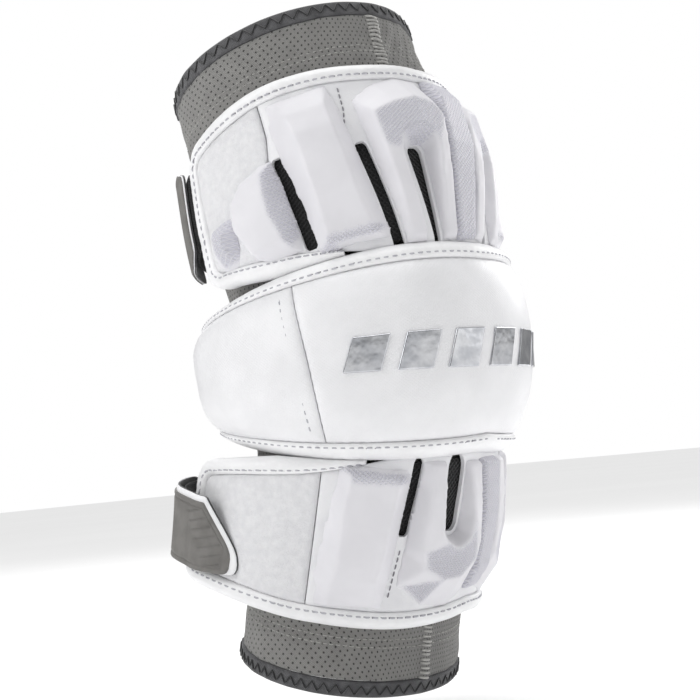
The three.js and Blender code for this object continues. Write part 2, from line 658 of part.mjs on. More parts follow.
// Sleeve and hems
const sleeveTop = ELBOW_TO_TOP - HEM_WIDTH - CLEARANCE;
const sleeveEnd = -ELBOW_TO_CUFF + HEM_WIDTH + CLEARANCE;
const tube = (low, high, rows, inner, outer) => wall({
  columns: 32,
  rows,
  closed: true,
  inner: () => inner,
  outer: () => outer,
  place: (a, b) => [360 * a, lerp(low, high, b)],
});
add('sleeve', tube(sleeveEnd, sleeveTop, 14, -SLEEVE_WALL, 0), KNIT);
add('upper_hem', tube(ELBOW_TO_TOP - HEM_WIDTH, ELBOW_TO_TOP, 1, -SLEEVE_WALL - HEM_PROUD, HEM_PROUD), HEM);
add('lower_hem', tube(-ELBOW_TO_CUFF, -ELBOW_TO_CUFF + HEM_WIDTH, 1, -SLEEVE_WALL - HEM_PROUD, HEM_PROUD), HEM);

// Foam, skins and fleece
const fixed = (turn) => () => turn;
function padLayers(name, pad, seamTurn, slots) {
  const inset = BINDING_WIDTH + PATCH_CLEARANCE;
  const end = (side) => fixed(pad.shape.endTurn(side, inset));
  const foamTop = (turn, s) => pad.surface(turn, s) - SKIN - FOAM_CLEARANCE;
  const skinInner = (turn, s) => pad.surface(turn, s) - SKIN;
  const seamGap = CLEARANCE / UNROLLED_DEGREE;
  const foam = { from: end(-1), to: end(1), inset, inner: pad.underside, outer: foamTop };
  add(`${name}_foam`, padPatch(pad, { ...foam, columns: 22, rows: 4 }), BACKING);
  const seamOn = (side) => (s) => pad.fanMiddle(s) + side * seamTurn;
  const skin = { from: seamOn(-1), to: seamOn(1), inset, inner: skinInner, outer: pad.surface };
  const panel = padPatch(pad, { ...skin, columns: 18, rows: 4 });
  add(`${name}_panel`, cutAway(panel, slotCutters(pad, slots)), WHITE_SKIN);
  for (const [side, word] of [[1, 'left'], [-1, 'right']]) {
    const from = (s) => seamOn(side)(s) + side * seamGap;
    const patch = { from, to: end(side), inset, inner: skinInner, outer: pad.surface };
    add(`${name}_fleece_${word}`, padPatch(pad, { ...patch, columns: 6, rows: 4 }), FLEECE);
  }
}

// Upper arm
padLayers('bicep', bicep, BICEP_SEAM, BICEP_SLOTS);
const bicepOpen = bicep.shape.openTurn('lower');
const bicepRing = (inset) => {
  const half = bicep.shape.half(inset, bicepOpen, 0, 5, 3, 10);
  return [...half, ...mirrorLine(half).slice(1)];
};
add('bicep_binding', bindingLoft(bicep, bicepRing(0), bicepRing(BINDING_WIDTH), false), BINDING);

for (const [side, word] of [[1, 'left'], [-1, 'right']]) {
  add(`bicep_small_rib_${word}`, straightRib(bicep, BICEP_SMALL_RIB, side, 3), RIB);
  add(`bicep_side_rib_${word}`, straightRib(bicep, BICEP_SIDE_RIB, side, 4), RIB);
  add(`bicep_broad_rib_${word}`, straightRib(bicep, BICEP_BROAD_RIB, side, 4), RIB);
  add(`bicep_arch_${word}`, archRib(bicep, BICEP_ARCH, side, 3), RIB);
}
add('bicep_spine', straightRib(bicep, BICEP_SPINE, 1, 4), RIB);

// Elbow
const capInset = CAP_BINDING_WIDTH + PATCH_CLEARANCE;
const capEnd = (side) => fixed(cap.shape.endTurn(side, capInset));
const capSeam = (side, offset) => (s) => side * (CAP_SEAM_TURN + (CAP_SEAM_LEAN * s) / CAP_REACH + offset);
const capFoam = {
  from: capEnd(-1),
  to: capEnd(1),
  inset: capInset,
  inner: cap.underside,
  outer: (turn, s) => cap.surface(turn, s) - SKIN - FOAM_CLEARANCE,
};
const capSkin = { inset: capInset, inner: (turn, s) => cap.surface(turn, s) - SKIN, outer: cap.surface };
add('elbow_foam', padPatch(cap, { ...capFoam, columns: 26, rows: 6 }), BACKING);
add('elbow_cap', padPatch(cap, { ...capSkin, from: capSeam(-1, 0), to: capSeam(1, 0), columns: 14, rows: 8 }),
  WHITE_SKIN);
for (const [side, word] of [[1, 'left'], [-1, 'right']]) {
  const seamGap = CLEARANCE / UNROLLED_DEGREE;
  const patch = { ...capSkin, from: capSeam(side, seamGap), to: capEnd(side), columns: 10, rows: 8 };
  add(`elbow_side_${word}`, padPatch(cap, patch), WHITE_SKIN);
}
const capRing = (inset) => {
  const half = cap.shape.half(inset, 0, 0, 8, 4, 7);
  return [...half, ...mirrorLine(half).slice(1, -1)];
};
add('elbow_binding', bindingLoft(cap, capRing(0), capRing(CAP_BINDING_WIDTH), true), BINDING);

for (let i = 0; i < BAR_COUNT; i += 1) {
  const middle = ((BAR_COUNT - 1) / 2 - i) * BAR_PITCH;
  const bar = wall({
    columns: 3,
    rows: 1,
    inner: (turn, s) => cap.surface(turn, s) + CLEARANCE,
    outer: (turn, s) => cap.surface(turn, s) + CLEARANCE + BAR_THICKNESS,
    place: (a, b) => [
      middle + (0.5 - a) * BAR_WIDTH - (b - 0.5) * BAR_SLANT,
      BAR_MIDDLE + (b - 0.5) * BAR_LENGTH,
    ],
  });
  add(`accent_bar_${i + 1}`, bar, CHROME);
}

// Forearm
padLayers('forearm', forearm, FOREARM_SEAM, FOREARM_SLOTS);
const forearmOpen = forearm.shape.openTurn('upper');
const forearmRing = (inset) => {
  const half = forearm.shape.half(inset, 0, forearmOpen, 10, 3, 5);
  return [...mirrorLine(half).slice(0, -1), ...half];
};
add('forearm_binding', bindingLoft(forearm, forearmRing(0), forearmRing(BINDING_WIDTH), false), BINDING);
for (const [side, word] of [[1, 'left'], [-1, 'right']]) {
  add(`forearm_broad_rib_${word}`, straightRib(forearm, FOREARM_BROAD_RIB, side, 4), RIB);
  add(`forearm_arch_${word}`, archRib(forearm, FOREARM_ARCH, side, 3), RIB);
}
add('forearm_spine', straightRib(forearm, FOREARM_SPINE, 1, 4), RIB);

// Straps and tabs. A strap runs from the right end of its pad round the back to the left end, and
// its tab lies on it from some way round the back to reach degrees past the strap's end.
function strapRoute(path, pad, overlap, middle, height) {
  const first = pad.shape.endTurn(-1, 0) - STRAP_END_GAP;
  const last = pad.shape.endTurn(1, 0) - 360 - overlap;
  const lift = (turn, s) => height(s) * tableAt(path, 'way', 'lift', between(turn, first, last));
  return { first, last, middle, lift };
}
function strap(route, width) {
  return wall({
    columns: 22,
    rows: 1,
    inner: route.lift,
    outer: (turn, s) => route.lift(turn, s) + STRAP_THICKNESS,
    place: (a, b) => [lerp(route.first, route.last, a), route.middle + (b - 0.5) * width],
  });
}
function tab(route, pad, width, reach, tipLow, tipHigh) {
  const inner = (turn, s) => {
    const onStrap = route.lift(turn, s) + STRAP_THICKNESS;
    const past = smooth(between(turn, route.last, route.last - reach));
    return FOAM_CLEARANCE + lerp(onStrap, pad.surface(turn + 360, s), reach > 0 ? past : 0);
  };
  return wall({
    columns: 8,
    rows: 2,
    inner,
    outer: (turn, s) => inner(turn, s) + TAB_THICKNESS,
    place: (a, b) => {
      const low = lerp(tipLow, -0.5, Math.min(1, a * TAB_TAPER)) * width;
      const high = lerp(tipHigh, 0.5, Math.min(1, a * TAB_TAPER)) * width;
      return [lerp(route.last - reach, route.last + TAB_TURN, a), route.middle + lerp(low, high, b)];
    },
  });
}
const bicepEndHeight = (s) => bicep.surface(BICEP_HALF_WRAP, s);
const upperRoute = strapRoute(UPPER_STRAP_PATH, bicep, -STRAP_END_GAP, UPPER_STRAP_MIDDLE, bicepEndHeight);
const bindingCrown = forearm.shape.endTurn(1, 0.6 * BINDING_WIDTH);
const wingEnd = forearm.surface(bindingCrown, LOWER_STRAP_MIDDLE - LOWER_STRAP_WIDTH / 2);
const wingHeight = wingEnd + BINDING_PROUD + FOAM_CLEARANCE;
const lowerRoute = strapRoute(LOWER_STRAP_PATH, forearm, LOWER_STRAP_OVERLAP, LOWER_STRAP_MIDDLE, () => wingHeight);
add('upper_strap', strap(upperRoute, UPPER_STRAP_WIDTH), BACKING);
add('upper_tab', tab(upperRoute, bicep, UPPER_TAB_WIDTH, 0, -0.4, 0.4), TAB_GREY);
add('lower_strap', strap(lowerRoute, LOWER_STRAP_WIDTH), BACKING);
add('lower_tab', tab(lowerRoute, forearm, LOWER_TAB_WIDTH, LOWER_TAB_REACH, -0.48, -0.25), TAB_GREY);

export default assembly;
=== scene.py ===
import math

import bmesh
import bpy
import numpy as np
from mathutils import Matrix, Vector
from mathutils.bvhtree import BVHTree


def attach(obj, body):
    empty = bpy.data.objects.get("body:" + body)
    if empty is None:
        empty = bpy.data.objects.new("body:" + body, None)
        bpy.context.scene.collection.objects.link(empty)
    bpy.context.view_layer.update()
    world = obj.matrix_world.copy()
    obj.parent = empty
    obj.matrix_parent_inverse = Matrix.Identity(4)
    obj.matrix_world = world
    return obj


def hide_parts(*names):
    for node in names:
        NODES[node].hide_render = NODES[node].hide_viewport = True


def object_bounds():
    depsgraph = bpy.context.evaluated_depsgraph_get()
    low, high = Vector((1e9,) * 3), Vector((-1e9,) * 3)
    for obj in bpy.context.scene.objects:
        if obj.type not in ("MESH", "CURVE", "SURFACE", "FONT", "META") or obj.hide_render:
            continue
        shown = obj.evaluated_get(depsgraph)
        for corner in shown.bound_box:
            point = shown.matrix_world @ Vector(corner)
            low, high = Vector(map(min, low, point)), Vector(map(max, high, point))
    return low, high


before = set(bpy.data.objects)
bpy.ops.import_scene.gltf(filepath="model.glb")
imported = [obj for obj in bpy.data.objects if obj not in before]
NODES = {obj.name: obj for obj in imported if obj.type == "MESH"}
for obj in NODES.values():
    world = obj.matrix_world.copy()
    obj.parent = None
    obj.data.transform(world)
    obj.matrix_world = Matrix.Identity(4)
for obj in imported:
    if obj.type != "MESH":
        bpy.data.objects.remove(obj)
cad_low, cad_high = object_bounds()

# A padded arm guard. Sizes are in millimetres and degrees and turn to metres in on_arm. A place on
# the arm is (turn, s, h): the direction the surface faces from the elbow's point towards -X, the
# distance along the arm from the elbow, and the height above the sleeve.
MM = 0.001
ELBOW_TO_TOP, ELBOW_TO_CUFF = 155, 145
ELBOW_HALF_WIDTH, ELBOW_HALF_DEPTH = 55.5, 59.5
BEND_TILT, BEND_HALF_LENGTH = math.radians(14.4), 50
SLEEVE_WALL, HEM_WIDTH, HEM_PROUD = 2, 7.5, 0.6
CLEARANCE, SKIN, FOAM_CLEARANCE, PAD_TUCK = 0.45, 2, 0.8, 0.5
SEAT, UNROLLED_DEGREE, BINDING_WIDTH, BINDING_PROUD = 0.9, 1.2, 8, 1.2
CAP_REACH, CAP_DROP, CAP_HALF_WRAP, CAP_BINDING_WIDTH = 35, 38, 160, 6.8
BICEP_REACH, BICEP_HALF_WRAP, FOREARM_REACH, FOREARM_HALF_WRAP, FOREARM_TURN = 120, 112, 112, 134, -11
CAP_EDGE_HEIGHT, CAP_DOME, CAP_SIDE_SWELL, CAP_CURVE, CAP_SIDE_CURVE = 8.8, 10.4, 4.6, 2.6, 1.4
BICEP_HEIGHT, BICEP_FLARE, BICEP_TOP_SINK, BICEP_TOP_THIN = 8.5, 7, 1, 2
FOREARM_HEIGHT, FOREARM_FLARE, FOREARM_CUFF_FLARE = 7.5, 21, 8
CAP_SWELL_TURNS, BICEP_FLARE_TURNS, FOREARM_FLARE_TURNS = (60, 138), (60, 130), (55, 146)
FAN_TURN, FAN_LEAN, FAN_END, CAP_SEAM_TURN, CAP_SEAM_LEAN = 3.5, 8.5, 96, 71, 5
SLEEVE_DEGREE, SLEEVE_RADIUS, STITCH_PITCH, PUCKER_DEPTH, PUCKER_PITCH = 1.05, 60.0, 3.8, 0.16, 4.6
SWELL_GROWTH, SWELL_PRESSURE, SWELL_FRAMES, SEAM_DEPTH = 0.03, 4.0, 20, 1.1

# along, wide, deep
ARM_SECTIONS = np.array([
    (-1.0, 0.964, 0.84), (-0.5, 0.928, 0.85), (0.0, 1.0, 1.0), (0.5, 1.036, 1.092), (1.0, 1.045, 1.05),
])
# round, upper, lower
BICEP_EDGES = np.array([
    (0.0, 0.967, 0.165), (0.25, 0.98, 0.19), (0.45, 1.0, 0.225), (0.63, 1.008, 0.267),
    (0.78, 0.99, 0.3), (1.0, 0.945, 0.36),
])
CAP_EDGES = np.array([(0.0, 0.97, 0.96), (0.25, 1.0, 1.02), (0.5, 1.0, 1.07), (1.0, 1.0, 1.1)])
FOREARM_EDGES = np.array([
    (0.0, 0.22, 0.97), (0.3, 0.25, 1.0), (0.6, 0.33, 0.99), (0.85, 0.39, 0.94), (1.0, 0.45, 0.93),
])


def between(value, low, high):
    return np.clip((value - low) / (high - low), 0, 1)


def smooth(x):
    return x * x * (3 - 2 * x)


def curve_at(rows, x, column):
    """A table's column at x, on a smooth curve through its rows."""
    keys, values = rows[:, 0], rows[:, column]
    slope = np.empty(len(keys))
    slope[1:-1] = (values[2:] - values[:-2]) / (keys[2:] - keys[:-2])
    slope[0] = (values[1] - values[0]) / (keys[1] - keys[0])
    slope[-1] = (values[-1] - values[-2]) / (keys[-1] - keys[-2])
    i = np.clip(np.searchsorted(keys, x) - 1, 0, len(keys) - 2)
    width = keys[i + 1] - keys[i]
    t = np.clip((x - keys[i]) / width, 0, 1)
    swing = width * (slope[i] * (1 - t) - slope[i + 1] * t)
    return values[i] + (values[i + 1] - values[i]) * smooth(t) + t * (1 - t) * swing


def on_arm(turn, s, h):
    """Points in metres for turns, distances and heights of one shape."""
    turn, s, h = np.broadcast_arrays(*(np.asarray(part, float) for part in (turn, s, h)))
    along = np.where(s > 0, s / ELBOW_TO_TOP, s / ELBOW_TO_CUFF)
    wide = curve_at(ARM_SECTIONS, along, 1) * ELBOW_HALF_WIDTH
    deep = curve_at(ARM_SECTIONS, along, 2) * ELBOW_HALF_DEPTH
    bent = np.minimum(np.abs(s), BEND_HALF_LENGTH)
    straight = np.abs(s) - bent
    angle = BEND_TILT * bent / BEND_HALF_LENGTH
    radius = BEND_HALF_LENGTH / BEND_TILT
    axis_y = radius * (1 - np.cos(angle)) + straight * np.sin(angle)
    axis_z = np.sign(s) * (radius * np.sin(angle) + straight * np.cos(angle))
    tilt = np.sign(s) * angle
    nx, ny = -np.sin(np.radians(turn)), -np.cos(np.radians(turn))
    q = np.hypot(wide * nx, deep * ny)
    x = wide * wide * nx / q + h * nx
    y = deep * deep * ny / q + h * ny
    return np.stack([x, axis_y + y * np.cos(tilt), axis_z - y * np.sin(tilt)], -1) * MM


class Pad:
    """One of the three pads: its outline on the unrolled sleeve and the height of its skin."""

    def __init__(self, edges, scale, half_wrap, corner, middle, foam, surface, limits):
        self.edges, self.scale, self.half_wrap, self.corner = edges, scale, half_wrap, corner
        self.middle, self.foam, self.surface, self.limits = middle, foam, surface, limits
        self.end = half_wrap * UNROLLED_DEGREE
        self.corner_off = (self.end - corner) / UNROLLED_DEGREE
        self.low_corner = self.edge(self.corner_off, 2) + corner
        self.high_corner = self.edge(self.corner_off, 1) - corner

    def edge(self, off, column):
        share = np.minimum(np.abs(off) / self.half_wrap, 1)
        return curve_at(self.edges, share, column) * self.scale[column - 1]

    def underside(self, turn, s):
        return np.maximum(SEAT, self.surface(turn, s) - self.foam)

    def held(self, s, off):
        low, high = self.limits(off + self.middle)
        return np.clip(s, low, high)

    def span(self, turn, inset):
        """The lower and upper s at a turn, inset from the outer edge."""
        off = turn - self.middle
        past = np.abs(off) * UNROLLED_DEGREE - (self.end - self.corner)
        radius = self.corner - inset
        rise = np.sqrt(np.maximum(radius * radius - past * past, 0))
        low = np.where(past <= 0, self.edge(off, 2) + inset, self.low_corner - rise)
        high = np.where(past <= 0, self.edge(off, 1) - inset, self.high_corner + rise)
        return self.held(low, off), self.held(high, off)

    def end_turn(self, side, inset):
        return self.middle + side * (self.end - inset) / UNROLLED_DEGREE

    def half(self, inset, start, stop):
        """Half of the outline as offs and s, from the lower edge round the end to the upper edge."""
        radius = self.corner - inset
        low = np.linspace(start, self.corner_off, 46)[:-1]
        high = np.linspace(self.corner_off, stop, 70)[1:]
        quarter = np.linspace(0, math.pi / 2, 12)
        side = np.linspace(self.low_corner, self.high_corner, 26)[1:-1]
        offs = np.concatenate([
            low, self.corner_off + radius * np.sin(quarter) / UNROLLED_DEGREE,
            np.full(side.shape, self.corner_off + radius / UNROLLED_DEGREE),
            self.corner_off + radius * np.cos(quarter) / UNROLLED_DEGREE, high,
        ])
        s = np.concatenate([
            self.edge(low, 2) + inset, self.low_corner - radius * np.cos(quarter), side,
            self.high_corner + radius * np.sin(quarter), self.edge(high, 1) - inset,
        ])
        return offs, self.held(s, offs)


def cap_edge(turn, column):
    return curve_at(CAP_EDGES, between(np.abs(turn), 0, CAP_HALF_WRAP), column)


def cap_height(turn, s):
    low = -CAP_DROP * cap_edge(turn, 2)
    share = np.minimum(np.abs(2 * (s - low) / (CAP_REACH - low) - 1), 1)
    side = smooth(between(np.abs(turn), *CAP_SWELL_TURNS))
    fade = 1 - 0.2 * smooth(between(np.abs(turn), 130, CAP_HALF_WRAP))
    dome = 1 - share ** (CAP_CURVE + CAP_SIDE_CURVE * side)
    return (CAP_EDGE_HEIGHT + (CAP_DOME + CAP_SIDE_SWELL * side) * dome) * fade


def bicep_height(turn, s):
    flare = BICEP_FLARE * (1 - between(s, 45, BICEP_REACH)) - BICEP_TOP_SINK
    thinner = BICEP_TOP_THIN * smooth(between(s, 70, BICEP_REACH))
    return BICEP_HEIGHT + flare * smooth(between(np.abs(turn), *BICEP_FLARE_TURNS)) - thinner


def forearm_height(turn, s):
    flare = FOREARM_FLARE + FOREARM_CUFF_FLARE * between(-s, 50, FOREARM_REACH)
    return FOREARM_HEIGHT + flare * smooth(between(np.abs(turn - FOREARM_TURN), *FOREARM_FLARE_TURNS))


CAP = Pad(CAP_EDGES, (CAP_REACH, -CAP_DROP), CAP_HALF_WRAP, corner=30, middle=0, foam=15,
          surface=cap_height, limits=lambda turn: (turn * 0 - math.inf, turn * 0 + math.inf))
BICEP = Pad(BICEP_EDGES, (BICEP_REACH, BICEP_REACH), BICEP_HALF_WRAP, corner=14, middle=0, foam=9,
            surface=bicep_height,
            limits=lambda turn: (CAP_REACH * cap_edge(turn, 1) - PAD_TUCK, turn * 0 + math.inf))
FOREARM = Pad(FOREARM_EDGES, (-FOREARM_REACH, -FOREARM_REACH), FOREARM_HALF_WRAP, corner=14,
              middle=FOREARM_TURN, foam=10, surface=forearm_height,
              limits=lambda turn: (turn * 0 - math.inf, -CAP_DROP * cap_edge(turn, 2) + PAD_TUCK))


def bicep_fan(s):
    """The turn of the upper ribs' middle line, which leans a little."""
    return FAN_TURN - FAN_LEAN * between(s, CAP_REACH, FAN_END)


def forearm_fan(s):
    return np.full(np.shape(s), float(FOREARM_TURN))


# Materials
def add(tree, kind, inputs=None, **settings):
    """One node with its settings and links."""
    made = tree.nodes.new(kind)
    for key, value in settings.items():
        setattr(made, key, value)
    for key, value in (inputs or {}).items():
        if isinstance(value, bpy.types.NodeSocket):
            tree.links.new(value, made.inputs[key])
        else:
            made.inputs[key].default_value = value
    return made


def srgb(hex_colour):
    """A linear colour from sRGB hex."""
    parts = [int(hex_colour[i:i + 2], 16) / 255 for i in (1, 3, 5)]
    return [c / 12.92 if c <= 0.04045 else ((c + 0.055) / 1.055) ** 2.4 for c in parts] + [1]


def round_the_arm(tree):
    """Millimetres round and along the arm, as a vector, from object coordinates."""
    place = add(tree, "ShaderNodeTexCoord").outputs["Object"]
    parts = add(tree, "ShaderNodeSeparateXYZ", {0: place})
    away = add(tree, "ShaderNodeMath", {0: parts.outputs[1], 1: -1.0}, operation="MULTIPLY")
    angle = add(tree, "ShaderNodeMath", {0: parts.outputs[0], 1: away.outputs[0]}, operation="ARCTAN2")
    u = add(tree, "ShaderNodeMath", {0: angle.outputs[0], 1: SLEEVE_RADIUS}, operation="MULTIPLY")
    v = add(tree, "ShaderNodeMath", {0: parts.outputs[2], 1: 1 / MM}, operation="MULTIPLY")
    return add(tree, "ShaderNodeCombineXYZ", {0: u.outputs[0], 1: v.outputs[0]}).outputs[0]


def in_mm(tree):
    """Object coordinates in millimetres."""
    place = add(tree, "ShaderNodeTexCoord").outputs["Object"]
    return add(tree, "ShaderNodeVectorMath", {0: place, "Scale": 1 / MM}, operation="SCALE").outputs[0]


def start(name, roughness, metallic=0.0, **sockets):
    """A new material whose plain values are set on the shader's own sockets."""
    material = bpy.data.materials.new(name)
    material.use_nodes = True
    tree = material.node_tree
    shader = tree.nodes["Principled BSDF"]
    shader.inputs["Roughness"].default_value = roughness
    shader.inputs["Metallic"].default_value = metallic
    for key, value in sockets.items():
        shader.inputs[key.replace("_", " ")].default_value = value
    return material, tree


def dress(material, colour, relief=None):
    """The material with its colour and its surface relief linked."""
    tree = material.node_tree
    shader = tree.nodes["Principled BSDF"]
    tree.links.new(colour, shader.inputs["Base Color"])
    if relief is not None:
        tree.links.new(relief.outputs[0], shader.inputs["Normal"])
    return material


def lattice(tree, place, pitch, radius, soft):
    """1 inside round spots on a staggered lattice: pitch across, radius of a spot, soft edge."""
    scaled = add(tree, "ShaderNodeVectorMath", {0: place, "Scale": 1.0 / pitch}, operation="SCALE")
    spots = []
    for shift in (0.0, 0.5):
        moved = add(tree, "ShaderNodeVectorMath", {0: scaled.outputs[0], 1: (shift, shift, 0)})
        cell = add(tree, "ShaderNodeVectorMath", {0: moved.outputs[0]}, operation="FRACTION")
        centred = add(tree, "ShaderNodeVectorMath", {0: cell.outputs[0], 1: (0.5, 0.5, 0)},
                      operation="SUBTRACT")
        length = add(tree, "ShaderNodeVectorMath", {0: centred.outputs[0]}, operation="LENGTH")
        spots.append(length.outputs["Value"])
    nearest = add(tree, "ShaderNodeMath", {0: spots[0], 1: spots[1]}, operation="MINIMUM")
    mask = add(tree, "ShaderNodeMapRange", {
        "Value": nearest.outputs[0], "From Min": (radius + soft) / pitch,
        "From Max": (radius - soft) / pitch, "To Min": 0.0, "To Max": 1.0})
    return mask.outputs[0]


def tint(tree, place, first, second, scale, detail=3.0, low=0.35, high=0.65):
    """A colour that wanders between two, over scale millimetres."""
    noise = add(tree, "ShaderNodeTexNoise", {"Vector": place, "Scale": 1.0 / scale, "Detail": detail})
    share = add(tree, "ShaderNodeMapRange",
                {"Value": noise.outputs["Fac"], "From Min": low, "From Max": high})
    return add(tree, "ShaderNodeMix", {"Factor": share.outputs[0], 6: srgb(first), 7: srgb(second)},
               data_type="RGBA").outputs[2]


def diagonal_hatch(tree, place, pitch):
    """Two crossed sets of fine ridges, pitch millimetres apart."""
    waves = []
    for way in (1.0, -1.0):
        lean = add(tree, "ShaderNodeVectorMath", {0: place, 1: (1.0, way, 0.0)}, operation="DOT_PRODUCT")
        phase = add(tree, "ShaderNodeMath", {0: lean.outputs["Value"], 1: math.pi / pitch},
                    operation="MULTIPLY")
        sine = add(tree, "ShaderNodeMath", {0: phase.outputs[0]}, operation="SINE")
        waves.append(add(tree, "ShaderNodeMath", {0: sine.outputs[0]}, operation="ABSOLUTE").outputs[0])
    return add(tree, "ShaderNodeMath", {0: waves[0], 1: waves[1]}, operation="MINIMUM").outputs[0]


def perforated_knit():
    """Grey spacer knit: soft and matt, with small round holes 2.9 mm apart and fine threads."""
    material, tree = start("perforated_spacer_knit", 0.92, Sheen_Weight=0.25, Sheen_Roughness=0.5)
    place, body = round_the_arm(tree), in_mm(tree)
    # staggered rows 4.1 mm apart, which puts the holes 2.9 mm apart
    holes = lattice(tree, place, 4.1, 0.5, 0.16)
    base = tint(tree, body, "#747370", "#84837f", 9.0)
    melange = add(tree, "ShaderNodeTexNoise", {"Vector": body, "Scale": 2.2, "Detail": 2.0})
    light = add(tree, "ShaderNodeMix", {"Factor": melange.outputs["Fac"], 6: base, 7: srgb("#959492")},
                data_type="RGBA", clamp_factor=True)
    # the holes are painted near black: painted shade inside them
    colour = add(tree, "ShaderNodeMix", {"Factor": holes, 6: light.outputs[2], 7: srgb("#2b2a29")},
                 data_type="RGBA")
    # threads about 0.8 mm apart, drawn as coarse as the render can show
    threads = diagonal_hatch(tree, place, 1.1)
    dents = add(tree, "ShaderNodeMath", {0: threads, 1: holes}, operation="SUBTRACT")
    relief = add(tree, "ShaderNodeBump",
                 {"Height": dents.outputs[0], "Distance": 0.35 * MM, "Strength": 0.8})
    return dress(material, colour.outputs[2], relief)


def ribbed_elastic():
    """Dark grey elastic hem: matt, with fine cords 1.3 mm apart that cross on the slant."""
    material, tree = start("ribbed_elastic", 0.9, Sheen_Weight=0.2)
    cords = diagonal_hatch(tree, round_the_arm(tree), 1.3)
    relief = add(tree, "ShaderNodeBump", {"Height": cords, "Distance": 0.3 * MM, "Strength": 0.7})
    return dress(material, tint(tree, in_mm(tree), "#4f4f51", "#606062", 5.0), relief)


def coated_cloth(name, first, second, roughness, grain, depth):
    """Synthetic leather: a coated cloth with a soft sheen and a pebbled grain."""
    material, tree = start(name, roughness, Coat_Weight=0.12, Coat_Roughness=0.35)
    place = in_mm(tree)
    cells = add(tree, "ShaderNodeTexVoronoi", {"Vector": place, "Scale": 1.0 / grain})
    wander = add(tree, "ShaderNodeTexNoise", {"Vector": place, "Scale": 0.12, "Detail": 3.0})
    height = add(tree, "ShaderNodeMath", {0: wander.outputs["Fac"], 1: 6.0, 2: cells.outputs["Distance"]},
                 operation="MULTIPLY_ADD")
    relief = add(tree, "ShaderNodeBump",
                 {"Height": height.outputs[0], "Distance": depth * MM, "Strength": 0.6})
    return dress(material, tint(tree, place, first, second, 14.0), relief)


def embossed_cloth():
    """Coated cloth with a fine diamond emboss 1.4 mm apart, satin, for the elbow cap."""
    material, tree = start("embossed_coated_cloth", 0.42, Coat_Weight=0.15, Coat_Roughness=0.3)
    diamonds = diagonal_hatch(tree, round_the_arm(tree), 1.4)
    relief = add(tree, "ShaderNodeBump", {"Height": diamonds, "Distance": 0.12 * MM, "Strength": 0.5})
    return dress(material, tint(tree, in_mm(tree), "#e9e9eb", "#efeff1", 18.0), relief)


def loop_pile():
    """Brushed loop pile: white, fuzzy, with a nap that lies in soft patches."""
    material, tree = start("brushed_loop_pile", 1.0, Sheen_Weight=0.6, Sheen_Roughness=0.6)
    place = in_mm(tree)
    fuzz = add(tree, "ShaderNodeTexNoise", {"Vector": place, "Scale": 1.1, "Detail": 6.0, "Roughness": 0.7})
    relief = add(tree, "ShaderNodeBump",
                 {"Height": fuzz.outputs["Fac"], "Distance": 0.7 * MM, "Strength": 0.9})
    return dress(material, tint(tree, place, "#e3e3e6", "#efeff1", 3.2, 6.0, 0.3, 0.7), relief)


def moulded_foam():
    """Moulded foam ribs: off-white, low satin; some faces carry a fine crossed hatch, painted darker between
    its raised lines as painted shade.
    """
    material, tree = start("moulded_foam", 0.5, Specular_IOR_Level=0.4)
    plain = tint(tree, in_mm(tree), "#dfdee2", "#e5e4e8", 20.0)
    mask = add(tree, "ShaderNodeAttribute", attribute_name="hatch").outputs["Fac"]
    # ridges about 1.3 mm apart, drawn as coarse as the render can show
    hatch = diagonal_hatch(tree, round_the_arm(tree), 1.9)
    # between the raised lines the hatched faces are painted a darker lavender grey: painted shade in the
    # hatch's hollows, on top of its bump
    ridge = add(tree, "ShaderNodeMapRange", {"Value": hatch, "From Max": 0.45})
    shade = add(tree, "ShaderNodeMath", {0: ridge.outputs[0], 1: mask}, operation="MULTIPLY")
    colour = add(tree, "ShaderNodeMix", {"Factor": shade.outputs[0], 6: plain, 7: srgb("#d1d0da")},
                 data_type="RGBA")
    height = add(tree, "ShaderNodeMath", {0: hatch, 1: mask}, operation="MULTIPLY")
    relief = add(tree, "ShaderNodeBump",
                 {"Height": height.outputs[0], "Distance": -0.45 * MM, "Strength": 0.9})
    return dress(material, colour.outputs[2], relief)


def black_mesh():
    """Black air mesh over the foam: matt, with round cells 1.7 mm apart."""
    material, tree = start("black_air_mesh", 0.9, Sheen_Weight=0.15)
    # staggered rows 2.4 mm apart, which puts the cells 1.7 mm apart
    cells = lattice(tree, round_the_arm(tree), 2.4, 0.62, 0.25)
    # the cells are painted darker than the threads: painted shade inside the open cells
    colour = add(tree, "ShaderNodeMix", {"Factor": cells, 6: srgb("#1b1b1d"), 7: srgb("#040404")},
                 data_type="RGBA")
    relief = add(tree, "ShaderNodeBump", {"Height": cells, "Distance": -0.5 * MM, "Strength": 0.8})
    return dress(material, colour.outputs[2], relief)


def polished_chrome():
    """Chrome film on moulded bars: mirror bright, with slight waves from the moulding."""
    material, tree = start("polished_chrome", 0.14, 1.0)
    place = in_mm(tree)
    wave = add(tree, "ShaderNodeTexNoise", {"Vector": place, "Scale": 0.25, "Detail": 1.0})
    relief = add(tree, "ShaderNodeBump",
                 {"Height": wave.outputs["Fac"], "Distance": 0.25 * MM, "Strength": 0.35})
    return dress(material, tint(tree, place, "#b9bbc0", "#d6d7da", 6.0), relief)


def woven_web():
    """Black woven elastic: matt, with crossed cords 1.2 mm apart."""
    material, tree = start("woven_elastic_web", 0.85, Sheen_Weight=0.2)
    cords = diagonal_hatch(tree, round_the_arm(tree), 1.2)
    relief = add(tree, "ShaderNodeBump", {"Height": cords, "Distance": 0.3 * MM, "Strength": 0.8})
    return dress(material, tint(tree, in_mm(tree), "#141416", "#222224", 4.0), relief)


